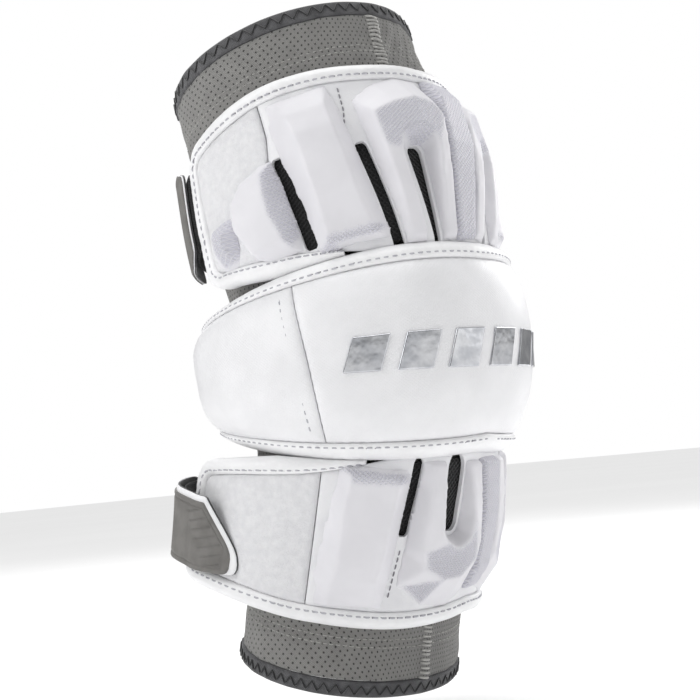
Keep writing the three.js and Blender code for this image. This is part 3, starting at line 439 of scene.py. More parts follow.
def moulded_rubber():
    """Grey moulded rubber: matt, warm grey, finely grained."""
    material, tree = start("moulded_rubber", 0.62)
    place = in_mm(tree)
    grain = add(tree, "ShaderNodeTexNoise", {"Vector": place, "Scale": 2.0, "Detail": 3.0})
    relief = add(tree, "ShaderNodeBump",
                 {"Height": grain.outputs["Fac"], "Distance": 0.12 * MM, "Strength": 0.6})
    return dress(material, tint(tree, place, "#6b6966", "#777572", 7.0), relief)


def spun_fibre(name, first, second):
    """Thread or felt of spun fibre: matt, with a soft shine along its edges."""
    material, tree = start(name, 0.6, Sheen_Weight=0.3)
    return dress(material, tint(tree, in_mm(tree), first, second, 1.5))


KNIT = perforated_knit()
ELASTIC = ribbed_elastic()
SKIN_CLOTH = coated_cloth("coated_cloth", "#e2e2e5", "#eaeaec", roughness=0.5, grain=0.9, depth=0.12)
BINDING_CLOTH = coated_cloth("soft_binding_cloth", "#eeeeef", "#f5f5f6", roughness=0.45, grain=1.3,
                             depth=0.18)
CAP_CLOTH = embossed_cloth()
PILE = loop_pile()
RIB_FOAM = moulded_foam()
MESH_CLOTH = black_mesh()
CHROME = polished_chrome()
WEB = woven_web()
RUBBER = moulded_rubber()
TRIM_CLOTH = coated_cloth("coated_trim_cloth", "#ececee", "#f3f3f4", roughness=0.5, grain=1.0, depth=0.08)
FELT = spun_fibre("hook_felt", "#2b2b2d", "#3c3c3e")
# a mid grey that stands for white thread in shade: painted shade, for the needle-hole plugs and the valley
# stitches
PAINTED_SHADE_THREAD = spun_fibre("painted_shade_thread", "#77767c", "#86858b")
# white thread painted a light grey: painted shade where the stitches sit in their dents
WHITE_THREAD_WITH_PAINTED_SHADE = spun_fibre("white_thread_with_painted_shade", "#a9a9b0", "#bfbfc5")
BLACK_THREAD = spun_fibre("black_thread", "#101012", "#1e1e20")
GREY_THREAD = spun_fibre("grey_thread", "#9b9a97", "#adaca8")


# Meshes
def solid(name, points, faces):
    """A mesh from points in metres and faces, turned outwards."""
    mesh = bpy.data.meshes.new(name)
    mesh.from_pydata(np.asarray(points).reshape(-1, 3).tolist(), [], [tuple(map(int, f)) for f in faces])
    work = bmesh.new()
    work.from_mesh(mesh)
    bmesh.ops.recalc_face_normals(work, faces=work.faces)
    work.to_mesh(mesh)
    work.free()
    return mesh


def in_scene(name, data):
    obj = bpy.data.objects.new(name, data)
    bpy.context.collection.objects.link(obj)
    return obj


def piece(name, points, faces, material, slot):
    """A smooth piece of the object, in one material."""
    mesh = solid(name, points, faces)
    mesh.shade_smooth()
    mesh.materials.append(material)
    obj = in_scene(name, mesh)
    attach(obj, "root")
    return obj


def wall(turn, s, inner, outer, closed=False):
    """Points and faces of a closed wall over a grid of turns and s, between two heights."""
    columns, rows = turn.shape
    points = np.concatenate([on_arm(turn, s, inner).reshape(-1, 3), on_arm(turn, s, outer).reshape(-1, 3)])
    index = np.arange(columns * rows).reshape(columns, rows)
    last = columns if closed else columns - 1
    faces = []
    layer = columns * rows
    for i in range(last):
        k = (i + 1) % columns
        a, b = index[i], index[k]
        faces += list(zip(a[:-1], a[1:], b[1:], b[:-1]))
        faces += list(zip(a[:-1] + layer, b[:-1] + layer, b[1:] + layer, a[1:] + layer))
        faces.append((a[0], b[0], b[0] + layer, a[0] + layer))
        faces.append((b[-1], a[-1], a[-1] + layer, b[-1] + layer))
    if not closed:
        for a, flip in ((index[0], 1), (index[-1], -1)):
            faces += [(p, q, q + layer, p + layer)[::flip] for p, q in zip(a[:-1], a[1:])]
    return points, faces


def patch_grid(pad, start, stop, inset, columns, rows):
    """A grid of turns and s between two turns that may lean with s, inside an inset."""
    across, along = np.meshgrid(np.linspace(0, 1, columns), np.linspace(0, 1, rows), indexing="ij")
    s = np.zeros(across.shape)
    for _ in range(5):
        turn = start(s) + (stop(s) - start(s)) * across
        low, high = pad.span(turn, inset)
        s = low + (high - low) * along
    return start(s) + (stop(s) - start(s)) * across, s


def rolled_edge(turn, s, width):
    """0 at a grid's border and 1 further in than width millimetres."""
    edge = np.full(turn.shape, np.inf)
    for border in (np.s_[:1], np.s_[-1:], np.s_[:, :1], np.s_[:, -1:]):
        edge = np.minimum(edge, np.hypot((turn - turn[border]) * UNROLLED_DEGREE, s - s[border]))
    x = np.clip(edge / width, 0, 1)
    return np.sqrt(1 - (1 - x) ** 2)


rng = np.random.default_rng(7)
WAVES = [(rng.uniform(0.02, 0.11), rng.uniform(0, math.tau), rng.uniform(0, math.tau)) for _ in range(14)]


def ripple(u, v):
    """A soft wandering height from -1 to 1 over millimetres u and v."""
    total = np.zeros(np.broadcast(u, v).shape)
    for rate, way, phase in WAVES:
        total = total + np.sin(math.tau * rate * (u * math.cos(way) + v * math.sin(way)) + phase)
    return total / len(WAVES) * 2


def resampled(values, columns, rows):
    """A coarse grid's values on a finer one, with no creases."""
    for count in (columns, rows):
        at = np.linspace(0, values.shape[0] - 1, count)
        values = np.stack([np.interp(at, np.arange(values.shape[0]), line) for line in values.T], 1)
        step = count // 12
        for _ in range(3):
            padded = np.concatenate([values[:1]] * step + [values] + [values[-1:]] * step)
            total = np.cumsum(np.concatenate([padded[:1] * 0, padded]), 0)
            values = (total[2 * step + 1:] - total[:-2 * step - 1]) / (2 * step + 1)
        values = values.T
    return values


def blown_up(turn, s, height, most):
    """How far a padded skin swells between its seams, from a cloth simulation of a coarser sheet."""
    columns, rows = turn.shape
    picks = [np.linspace(0, count - 1, max(count // 4, 12)).astype(int) for count in (columns, rows)]
    turn, s, height = (part[np.ix_(*picks)] for part in (turn, s, height))
    rest = on_arm(turn, s, height)
    out = (on_arm(turn, s, height + 1) - rest).reshape(-1, 3) / MM
    index = np.arange(turn.size).reshape(turn.shape)
    corners = [index[:-1, :-1], index[:-1, 1:], index[1:, 1:], index[1:, :-1]]
    mesh = bpy.data.meshes.new("sheet")
    mesh.from_pydata(rest.reshape(-1, 3).tolist(), [], np.stack(corners, -1).reshape(-1, 4).tolist())
    sheet = in_scene("sheet", mesh)
    border = np.concatenate([index[0], index[-1], index[1:-1, 0], index[1:-1, -1]])
    sheet.vertex_groups.new(name="seam").add(border.tolist(), 1.0, "REPLACE")
    cloth = sheet.modifiers.new("cloth", "CLOTH")
    cloth.settings.vertex_group_mass = "seam"
    cloth.settings.use_pressure, cloth.settings.uniform_pressure_force = True, SWELL_PRESSURE
    cloth.settings.shrink_min = -SWELL_GROWTH
    cloth.settings.effector_weights.gravity = 0.0
    cloth.point_cache.frame_start, cloth.point_cache.frame_end = 1, SWELL_FRAMES
    for step in range(1, SWELL_FRAMES + 1):
        bpy.context.scene.frame_set(step)
    solved = sheet.evaluated_get(bpy.context.evaluated_depsgraph_get()).data
    moved = np.array([vertex.co for vertex in solved.vertices]) - rest.reshape(-1, 3)
    rise = np.clip((moved * out).sum(1) / MM, -0.3, most).reshape(turn.shape)
    bpy.context.scene.frame_set(1)
    bpy.data.objects.remove(sheet)
    return resampled(rise, columns, rows)


def padded_skin(name, pad, start, stop, inset, size, material, slot, node, roll, relief, most=0.9):
    """A padded skin: a wall whose border rolls down to its seam."""
    turn, s = patch_grid(pad, start, stop, inset, *size)
    inside = rolled_edge(turn, s, roll)
    height = pad.surface(turn, s) - SEAM_DEPTH * (1 - inside)
    height = height + blown_up(turn, s, height, most) * inside
    near_seam = np.exp(-3 * rolled_edge(turn, s, 9) ** 2)
    pucker = PUCKER_DEPTH * np.sin((turn * UNROLLED_DEGREE + s) * math.tau / PUCKER_PITCH)
    height = height + near_seam * pucker + relief(turn, s)
    obj = piece(name, *wall(turn, s, pad.surface(turn, s) - SKIN - 0.2, height), material, slot)
    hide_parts(node)
    return obj


def lofted(count, size, closed):
    """Faces over count rings of size points each, capped at the ends of an open run."""
    faces = []
    for i in range(count if closed else count - 1):
        k = (i + 1) % count
        for j in range(size):
            m = (j + 1) % size
            faces.append((i * size + j, i * size + m, k * size + m, k * size + j))
    if not closed:
        faces.append(tuple(range(size)))
        faces.append(tuple((count - 1) * size + j for j in reversed(range(size))))
    return faces


def tube(points, radius, sides=6, closed=False):
    """Points and faces of a round tube along a line of points in metres."""
    points = np.asarray(points)
    ahead = np.roll(points, -1, 0) - np.roll(points, 1, 0)
    if not closed:
        ahead[0], ahead[-1] = points[1] - points[0], points[-1] - points[-2]
    ahead /= np.linalg.norm(ahead, axis=1)[:, None]
    side = np.cross(ahead, points * (1, 1, 0))
    side /= np.linalg.norm(side, axis=1)[:, None]
    up = np.cross(side, ahead)
    angle = (np.arange(sides) * math.tau / sides)[:, None]
    ring = np.cos(angle) * side[:, None] + np.sin(angle) * up[:, None]
    points = points[:, None] + radius * MM * ring
    return points.reshape(-1, 3), lofted(len(points), sides, closed)


def joined(parts):
    points, faces, total = [], [], 0
    for p, f in parts:
        points.append(p)
        faces += [tuple(k + total for k in face) for face in f]
        total += len(p)
    return np.concatenate(points), faces


def needle_hole_shade(turn, s, height, radius=0.42):
    """A flat eight-sided dark plug where a needle went in: painted shade in the needle hole's dimple."""
    angle = np.arange(8) * math.tau / 8
    t = turn + radius * np.cos(angle) / UNROLLED_DEGREE
    along = s + radius * np.sin(angle)
    top, bottom = on_arm(t, along, height + 0.1), on_arm(t, along, height - 0.5)
    faces = [tuple(range(8)), tuple(range(15, 7, -1))]
    faces += [(j, (j + 1) % 8, (j + 1) % 8 + 8, j + 8) for j in range(8)]
    return np.concatenate([top, bottom]), faces


def stitches(name, line, height, material, slot, pitch=STITCH_PITCH, length=2.5, radius=0.36, holes=True):
    """A row of stitches along a line of turns and s: each a short thread that dips at its ends."""
    turn, s = (np.asarray(part, float) for part in line)
    path = on_arm(turn, s, height(turn, s))
    reach = np.concatenate([[0], np.cumsum(np.linalg.norm(np.diff(path, axis=0), axis=1))]) / MM
    parts, plugs = [], []
    for i in range(int(reach[-1] // pitch)):
        at = i * pitch + np.linspace(0, length, 5)
        t, along = np.interp(at, reach, turn), np.interp(at, reach, s)
        h = height(t, along)
        lift = 0.3 - 0.7 * (np.linspace(-1, 1, 5) ** 4)
        parts.append(tube(on_arm(t, along, h + lift), radius, 5))
        # each stitch end gets a dark plug: painted shade of its needle hole
        if holes:
            plugs.append(needle_hole_shade(t[-1], along[-1], h[-1]))
    if holes:
        piece(name + "_hole_shade", *joined(plugs), PAINTED_SHADE_THREAD, slot)
    return piece(name, *joined(parts), material, slot)


# Sleeve and hems
SLEEVE_TOP = ELBOW_TO_TOP - HEM_WIDTH - CLEARANCE
SLEEVE_END = -ELBOW_TO_CUFF + HEM_WIDTH + CLEARANCE
ZIGZAG_SWING, ZIGZAG_STEPS = 2.3, 58
STITCH_ROWS = {"upper": (131, 128), "lower": (-118.5, -122)}


def sleeve_seam_turn(s):
    return np.where(s > 0, 12 - 0.12 * (s - 130), 6)


def sleeve_relief(turn, s):
    """The seam, the pulled folds and the stitched grooves of the sleeve's bare ends."""
    around = (turn + 180) % 360 - 180
    off_seam = (around - sleeve_seam_turn(s)) * SLEEVE_DEGREE
    seam = 0.75 * np.exp(-(off_seam / 3.4) ** 2) * (1 + 0.25 * np.sin(s * math.tau / 3.1))
    groove = sum(np.exp(-((s - at) / 0.8) ** 2) for rows in STITCH_ROWS.values() for at in rows)
    pull = smooth(between(s, 108, 122)) * (1 - smooth(between(s, 140, 149)))
    pull = pull * np.exp(-((around + 14) / 26) ** 2)
    folds = 0.9 * pull * np.sin((s * 0.55 + around * 0.9) * 0.75)
    bare = smooth(between(np.abs(s + 2), 112, 121))
    return bare * (seam + folds + 0.5 * ripple(around * SLEEVE_DEGREE, s)) - 0.5 * groove


def tube_grid(low, high, columns, rows):
    return np.meshgrid(np.arange(columns) * 360 / columns, np.linspace(low, high, rows), indexing="ij")


turn, s = tube_grid(SLEEVE_END, SLEEVE_TOP, 240, 170)
relief = sleeve_relief(turn, s)
sleeve = piece("knit_sleeve", *wall(turn, s, relief - SLEEVE_WALL, relief, closed=True), KNIT, "sleeve_knit")
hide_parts("sleeve")

for name, low, high in (("upper_hem", ELBOW_TO_TOP - HEM_WIDTH, ELBOW_TO_TOP),
                        ("lower_hem", -ELBOW_TO_CUFF, -ELBOW_TO_CUFF + HEM_WIDTH)):
    turn, s = tube_grid(low, high, 240, 12)
    across = (s - low) / (high - low) * 2 - 1
    crown = np.sqrt(1 - np.abs(across) ** 6 * 0.98)
    wave = 0.25 * ripple(turn, s * 0)
    half = SLEEVE_WALL / 2
    hem = piece(name + "_band", *wall(turn, s, -half - (half + HEM_PROUD) * crown + wave,
                                      -half + (half + HEM_PROUD) * crown + wave, closed=True),
                ELASTIC, "hem_knit")
    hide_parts(name)
    t = np.linspace(0, 360, ZIGZAG_STEPS * 8, endpoint=False)
    slant = np.arcsin(np.sin(t * ZIGZAG_STEPS * math.pi / 180) * 0.97) * 2 / math.pi
    line = on_arm(t, (low + high) / 2 + ZIGZAG_SWING * slant, HEM_PROUD + 0.25 + 0.25 * ripple(t, t * 0))
    piece(name + "_zigzag", *tube(line, 0.45, sides=5, closed=True), BLACK_THREAD, "hem_knit")

for name, levels in STITCH_ROWS.items():
    t = np.linspace(0, 360, 400)
    for level in levels:
        stitches(f"{name}_sleeve_stitch_{abs(int(level))}", (t, np.full(t.shape, float(level))),
                 sleeve_relief, GREY_THREAD, "sleeve_knit", pitch=3.0, length=2.2, radius=0.28, holes=False)


def seam_rungs(name, low, high, reach, pitch=2.1):
    """The flat seam along the sleeve: short cords laid across it, close together."""
    parts = []
    for s in np.arange(low, high, pitch):
        off = np.linspace(-1, 1, 7)
        t = sleeve_seam_turn(s) + off * reach * rng.uniform(0.9, 1.1)
        along = s + 0.5 * off + rng.uniform(-0.3, 0.3)
        parts.append(tube(on_arm(t, along, sleeve_relief(t, along) + 0.25 - 0.5 * off ** 4), 0.62, 6))
    return piece(name, *joined(parts), GREY_THREAD, "sleeve_knit")


seam_rungs("upper_sleeve_seam", 119, SLEEVE_TOP, 3.0)
seam_rungs("lower_sleeve_seam", SLEEVE_END, -112, 2.6)


# Slots through a skin
def slot_cutter(pad, fan, start_s, length, slot, side):
    """Points and faces of the round-ended bar that cuts one slot."""
    begin, finish, begin_turn, finish_turn, *widths = slot
    along = (1 - np.cos(np.linspace(0, math.pi, 24))) / 2
    s = start_s + length * (begin + (finish - begin) * along)
    middle = begin_turn + (finish_turn - begin_turn) * along
    reach = abs(length * (finish - begin))
    half = (widths[0] + (widths[1] - widths[0]) * along) / 2
    near = np.minimum(along, 1 - along) * reach
    inside = np.clip((near + 0.4) / (half * UNROLLED_DEGREE), 0, 1)
    half = half * np.sqrt(np.clip(1 - (1 - inside) ** 2, 0.02, 1))
    turn = np.stack([fan(s) + side * (middle + half), fan(s) + side * (middle - half)])
    s = np.stack([s, s])
    return wall(turn, s, pad.surface(turn, s) - SKIN - 2, pad.surface(turn, s) + 3)


def cut(obj, cutters):
    tool = in_scene("cutter", solid("cutter", *joined(cutters)))
    modifier = obj.modifiers.new("slots", "BOOLEAN")
    modifier.operation, modifier.object, modifier.solver = "DIFFERENCE", tool, "EXACT"
    modifier.use_self = True
    apply_modifiers(obj)
    bpy.data.objects.remove(tool)


def apply_modifiers(obj):
    graph = bpy.context.evaluated_depsgraph_get()
    mesh = bpy.data.meshes.new_from_object(obj.evaluated_get(graph))
    obj.modifiers.clear()
    obj.data = mesh


# begin, finish, begin turn, finish turn, begin width, finish width
BICEP_SLOTS = [(0.06, 0.58, 63.6, 73.8, 4.8, 4.4), (-0.03, 0.52, 31.2, 43.6, 4.6, 4.6),
               (-0.03, 0.45, 14.6, 21.3, 2.5, 7)]
FOREARM_SLOTS = [(0.0, 0.43, 40.1, 42, 4.4, 4.2), (-0.02, 0.4, 21.6, 19.5, 9, 8)]


def pad_ends(pad, inset):
    """The turns of a pad's right and left end, each at any s."""
    return [lambda s, side=side: np.full(np.shape(s), pad.end_turn(side, inset)) for side in (-1, 1)]


def foam_core(name, pad, turn, s, fill):
    """The black foam under a pad's skin."""
    top = pad.surface(turn, s) - SKIN - FOAM_CLEARANCE
    foam = piece(name + "_foam_core", *wall(turn, s, pad.underside(turn, s), top), MESH_CLOTH, "black_foam")
    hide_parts(name + "_foam")


def pad_layers(name, pad, fan, seam, slots, start_s, length):
    """A pad's foam, its slotted skin and the pile panel at each end."""
    inset = BINDING_WIDTH + 0.1
    ends = pad_ends(pad, inset)
    turn, s = patch_grid(pad, *ends, inset, 120, 36)
    # the foam ends short of the cap, so that no black shows beside it
    low, high = pad.limits(turn)
    first, last = np.maximum(s[:, :1], low[:, :1] + 2), np.minimum(s[:, -1:], high[:, :1] - 2)
    s = first + (s - s[:, :1]) / (s[:, -1:] - s[:, :1]) * (last - first)
    foam_core(name, pad, turn, s, 0.9)
    seams = [lambda s, side=side: fan(s) + side * seam for side in (-1, 1)]
    turn, s = patch_grid(pad, *seams, inset, 150, 60)
    height = pad.surface(turn, s) - 0.8 * (1 - rolled_edge(turn, s, 2.5))
    grid = wall(turn, s, pad.surface(turn, s) - SKIN, height)
    skin = piece(name + "_skin", *grid, SKIN_CLOTH, "white_skin")
    cut(skin, [slot_cutter(pad, fan, start_s, length, slot, side) for slot in slots for side in (-1, 1)])
    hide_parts(name + "_panel")
    for side, word in ((1, "left"), (-1, "right")):
        padded_skin(f"{name}_pile_{word}", pad, lambda s, side=side: fan(s) + side * (seam + 0.5),
                    ends[(side + 1) // 2], inset, (60, 60), PILE, "white_fleece", f"{name}_fleece_{word}",
                    roll=4.0, relief=lambda t, s: 0.35 * ripple(t * 1.3, s))


pad_layers("bicep", BICEP, bicep_fan, 77, BICEP_SLOTS, CAP_REACH, BICEP_REACH - CAP_REACH)
pad_layers("forearm", FOREARM, forearm_fan, 79, FOREARM_SLOTS, -CAP_DROP, CAP_DROP - FOREARM_REACH)

# the valley stitches use the mid grey thread: painted shade of the deep valley between the ribs
for side, word in ((1, "left"), (-1, "right")):
    s = np.linspace(80, 109, 30)
    stitches(f"bicep_valley_stitches_{word}", (bicep_fan(s) + side * (47.8 - 0.06 * (s - 95)), s),
             bicep_height, PAINTED_SHADE_THREAD, "white_skin", pitch=3.2, length=2.3, radius=0.34, holes=False)
    s = np.linspace(-76, -101, 30)
    stitches(f"forearm_valley_stitches_{word}", (forearm_fan(s) + side * (43.5 - 0.12 * (s + 88)), s),
             forearm_height, PAINTED_SHADE_THREAD, "white_skin", pitch=3.2, length=2.3, radius=0.34, holes=False)


# Bindings
# share of the width from the inner edge, share of the height
TAPE_PROFILE = [(0, 0.1), (0, 0.86), (0.06, 0.95), (0.16, 1.02), (0.3, 1.06), (0.45, 1.06), (0.6, 1.03),
                (0.75, 0.96), (0.88, 0.84), (0.97, 0.66), (1, 0.48), (0.97, 0.28), (0.88, 0.12), (0.7, 0.04)]
STITCH_SHARE = 0.24


def binding(name, pad, start, stop, closed, width, node):
    """The folded tape along a pad's edge, half round, drawn in a little at each stitch."""
    lines = []
    for offs, s in (pad.half(0, start, stop), pad.half(width, start, stop)):
        if stop == 0:
            line = [np.concatenate([offs, -offs[-2::-1]]), np.concatenate([s, s[-2::-1]])]
        else:
            line = [np.concatenate([-offs[::-1], offs[1:]]), np.concatenate([s[::-1], s[1:]])]
        lines.append(np.stack(line)[:, :-1] if closed else np.stack(line))
    outer, inner = lines

    def across(share):
        off, s = inner + (outer - inner) * share
        return pad.middle + off, s

    mid = on_arm(*across(1), pad.surface(*across(1)))
    reach = np.concatenate([[0], np.cumsum(np.linalg.norm(np.diff(mid, axis=0), axis=1))]) / MM
    pucker = 0.18 * np.cos(reach * math.tau / STITCH_PITCH) + 0.3 * ripple(reach * 1.7, reach * 0)
    rings = []
    for share, lift in TAPE_PROFILE:
        turn, s = across(share)
        low, high = pad.underside(turn, s), pad.surface(turn, s) + BINDING_PROUD
        seam = 0.55 * math.exp(-((share - STITCH_SHARE) / 0.1) ** 2) * (lift > 0.9)
        rings.append(on_arm(turn, s, low + (high - low) * lift - seam + 1.2 * pucker * max(lift - 0.5, 0)))
    points = np.stack(rings, 1)
    obj = piece(name + "_tape", points, lofted(*points.shape[:2], closed), BINDING_CLOTH, "white_binding")
    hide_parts(node)
    stitches(name + "_tape_stitches", across(STITCH_SHARE),
             lambda t, s: pad.surface(t, s) + BINDING_PROUD * 1.02 - 0.1, WHITE_THREAD_WITH_PAINTED_SHADE, "white_binding",
             radius=0.42)


binding("bicep", BICEP, 56, 0, False, BINDING_WIDTH, "bicep_binding")
binding("elbow", CAP, 0, 0, True, CAP_BINDING_WIDTH, "elbow_binding")
binding("forearm", FOREARM, 0, 62, False, BINDING_WIDTH, "forearm_binding")


# Elbow cap
def cap_seam(side, offset):
    return lambda s: side * (CAP_SEAM_TURN + CAP_SEAM_LEAN * s / CAP_REACH + offset)


cap_inset = CAP_BINDING_WIDTH + 0.1
cap_ends = pad_ends(CAP, cap_inset)
foam_core("elbow", CAP, *patch_grid(CAP, *cap_ends, cap_inset, 160, 40), 1.0)
padded_skin("elbow_cap_skin", CAP, cap_seam(-1, 0), cap_seam(1, 0), cap_inset, (200, 90), CAP_CLOTH,
            "white_skin", "elbow_cap", roll=5.0, relief=lambda t, s: 0.12 * ripple(t * 1.3, s),
            most=0.5)
for side, word in ((1, "left"), (-1, "right")):
    padded_skin(f"elbow_side_skin_{word}", CAP, cap_seam(side, 0.3), cap_ends[(side + 1) // 2], cap_inset,
                (110, 90), CAP_CLOTH, "white_skin", f"elbow_side_{word}", roll=5.0,
                relief=lambda t, s: 0.15 * ripple(t * 1.3, s))
    s = np.linspace(-29, 27, 60)
    stitches(f"elbow_seam_stitches_{word}", (cap_seam(side, 4.5)(s), s), lambda t, s: cap_height(t, s) - 0.1,
             WHITE_THREAD_WITH_PAINTED_SHADE, "white_skin")


# Moulded ribs and bars, from the frame's own shapes, with rounded edges
RIB_SUNK, RIB_WIDER, RIB_REACH, RIB_VOXEL, BAR_EDGE = 0.9, 1.3, 3, 0.9, 0.55
REACHING_ENDS, ARCH_BENDS = (40, 62), (-72, 74)
AXIS_S = np.arange(-150, 160, 2.0)
AXIS = (on_arm(0, AXIS_S, 0) + on_arm(180, AXIS_S, 0)) / 2


def local_ways(centre):
    """At a point: s, and the unit ways outwards, round towards a greater turn, and along the arm."""
    nearest = int(np.argmin(np.linalg.norm(AXIS - np.array(centre), axis=1)))
    ahead = AXIS[min(nearest + 1, len(AXIS) - 1)] - AXIS[max(nearest - 1, 0)]
    along = Vector(ahead).normalized()
    out = centre - Vector(AXIS[nearest])
    out = (out - along * out.dot(along)).normalized()
    return AXIS_S[nearest], out, out.cross(along), along


def is_hatched(node, face):
    """Whether the mould gives this face its crossed hatch."""
    s, out, around, along = local_ways(face.calc_center_median())
    inwards = around * (-1 if node.endswith("left") else 1)
    to_elbow = -along if s > 0 else along
    facing, normal = face.normal.dot(out), face.normal
    if "spine" in node:
        return True
    if "small" in node:
        return facing > 0.3 and normal.dot(inwards) > -0.4
    if "side" in node:
        return normal.dot(inwards) > 0.35
    if "broad" in node:
        return facing > 0 and normal.dot(to_elbow) > 0.5
    bend = not ARCH_BENDS[0] <= s <= ARCH_BENDS[1]
    return bend and (facing > 0.9 or normal.dot(to_elbow) > 0.4)


def rib(node):
    """A rib with the frame's shape, its edges rolled over and its hatched faces marked."""
    work = bmesh.new()
    work.from_mesh(NODES[node].data)
    bmesh.ops.remove_doubles(work, verts=work.verts, dist=1e-6)
    bmesh.ops.dissolve_limit(work, angle_limit=math.radians(4), verts=work.verts, edges=work.edges)
    work.normal_update()
    work.faces.ensure_lookup_table()
    facets = BVHTree.FromBMesh(work)
    hatched = np.array([is_hatched(node, face) for face in work.faces], float)
    # as a moulding does, the base reaches into the skin, the sides lean out to the slots beside them
    # and the ends run down to the cap
    base = {v for face in work.faces for v in face.verts
            if face.normal.dot(local_ways(face.calc_center_median())[1]) < -0.5}
    moves = []
    for vertex in work.verts:
        s, out, _, along = local_ways(vertex.co)
        sideways = vertex.normal - out * vertex.normal.dot(out)
        to_cap = math.copysign(RIB_REACH * float(1 - between(abs(s), *REACHING_ENDS)), s)
        sunk = RIB_SUNK if vertex in base else 0
        moves.append((sideways * RIB_WIDER - along * to_cap - out * sunk) * MM)
    for vertex, move in zip(work.verts, moves):
        vertex.co += move
    mesh = bpy.data.meshes.new(node + "_moulded")
    work.to_mesh(mesh)
    work.free()
    obj = in_scene(node + "_moulded", mesh)
    remesh = obj.modifiers.new("voxels", "REMESH")
    remesh.mode, remesh.voxel_size = "VOXEL", RIB_VOXEL * MM
    apply_modifiers(obj)
    mesh = obj.data
    points = np.array([v.co for v in mesh.vertices])
    ends = np.array([edge.vertices for edge in mesh.edges])
    share = np.array([hatched[facets.find_nearest(point)[2]] for point in points])[:, None]
    points = relaxed(points, ends, 2)
    share = relaxed(share, ends, 2)
    mesh.vertices.foreach_set("co", points.ravel())
    mesh.attributes.new("hatch", "FLOAT", "POINT").data.foreach_set("value", share.ravel())
    mesh.shade_smooth()
    mesh.materials.clear()
    mesh.materials.append(RIB_FOAM)
    return placed(obj, node)


def relaxed(values, ends, passes):
    """Values at a mesh's points, each drawn to its neighbours' mean."""
    count = np.zeros((len(values), 1))
    np.add.at(count, ends.ravel(), 1)
    for _ in range(passes):
        total = np.zeros(values.shape)
        np.add.at(total, ends[:, 0], values[ends[:, 1]])
        np.add.at(total, ends[:, 1], values[ends[:, 0]])
        values = total / count
    return values


def bar(node):
    """A chrome bar with the frame's shape and rolled edges."""
    work = bmesh.new()
    work.from_mesh(NODES[node].data)
    bmesh.ops.remove_doubles(work, verts=work.verts, dist=1e-6)
    bmesh.ops.dissolve_limit(work, angle_limit=math.radians(7), verts=work.verts, edges=work.edges)
    sharp = [e for e in work.edges if len(e.link_faces) == 2 and e.calc_face_angle(0) > math.radians(25)]
    bmesh.ops.bevel(work, geom=sharp, offset=BAR_EDGE * MM, offset_type="OFFSET", segments=4, profile=0.5,
                    affect="EDGES", clamp_overlap=True)
    for face in work.faces:
        face.smooth = True
    mesh = bpy.data.meshes.new(node + "_moulded")
    work.to_mesh(mesh)
    work.free()
    mesh.materials.append(CHROME)
    obj = in_scene(node + "_moulded", mesh)
    obj.modifiers.new("normals", "WEIGHTED_NORMAL").keep_sharp = True
    return placed(obj, node)


def placed(obj, node):
    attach(obj, "root")
    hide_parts(node)
    return obj


for node in sorted(NODES):
    if "_rib_" in node or "_arch_" in node or "_spine" in node:
        rib(node)
    elif node.startswith("accent_bar"):
        bar(node)


# Straps and tabs
STRAP_THICKNESS, TAB_THICKNESS, TAB_TURN, STRAP_END_GAP = 2, 2.6, 29, 0.4
LOWER_TAB_REACH, TAB_TAPER, LOWER_STRAP_OVERLAP = 18, 4, 11
UPPER_STRAP_S, UPPER_STRAP_WIDTH, UPPER_TAB_WIDTH = 86, 38, 48
LOWER_STRAP_S, LOWER_STRAP_WIDTH, LOWER_TAB_WIDTH = -79, 30, 33
TAB_CORNER, GRIP_TURN, GRIP_S, GRIP_PITCH = 2.6, 94, -95, 4.4
# way, lift
UPPER_PATH = np.array([(0, 0.26), (0.11, 0.14), (0.35, 0.1), (0.65, 0.1), (0.79, 0.42), (0.88, 0.68),
                       (0.95, 0.82), (1, 0.92)])
LOWER_PATH = np.array([(0, 0.733), (0.095, 0.46), (0.19, 0.273), (0.335, 0.187), (0.5, 0.3), (0.65, 0.59),
                       (0.77, 0.87), (0.885, 1.0), (1, 0.92)])


class Route:
    """A strap's run from its pad's right end round the back of the arm to the left end."""

    def __init__(self, path, pad, overlap, middle, height):
        self.path, self.middle, self.height = path, middle, height
        self.first = pad.end_turn(-1, 0) - STRAP_END_GAP
        self.last = pad.end_turn(1, 0) - 360 - overlap

    def lift(self, turn, s):
        return self.height(s) * curve_at(self.path, between(turn, self.first, self.last), 1)


def web(name, node, route, width):
    """A woven strap with fine cords along it and edges that thin and round over."""
    a, b = np.meshgrid(np.linspace(0, 1, 160), np.linspace(0, 1, 19), indexing="ij")
    turn = route.first + (route.last - route.first) * a
    across = np.abs(b * 2 - 1)
    edge = 1 - 0.5 * across ** 12
    cord = 0.12 * np.cos(b * width * math.tau / 2.1) * edge
    s = route.middle + (b - 0.5) * width
    low = route.lift(turn, s)
    top = low + STRAP_THICKNESS * edge + cord - 0.1
    strap = piece(name, *wall(turn, s, low + 0.3 * (1 - edge), top), WEB, "strap_web")
    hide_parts(node)
    run = on_arm(turn[:, 9], s[:, 9], low[:, 9])


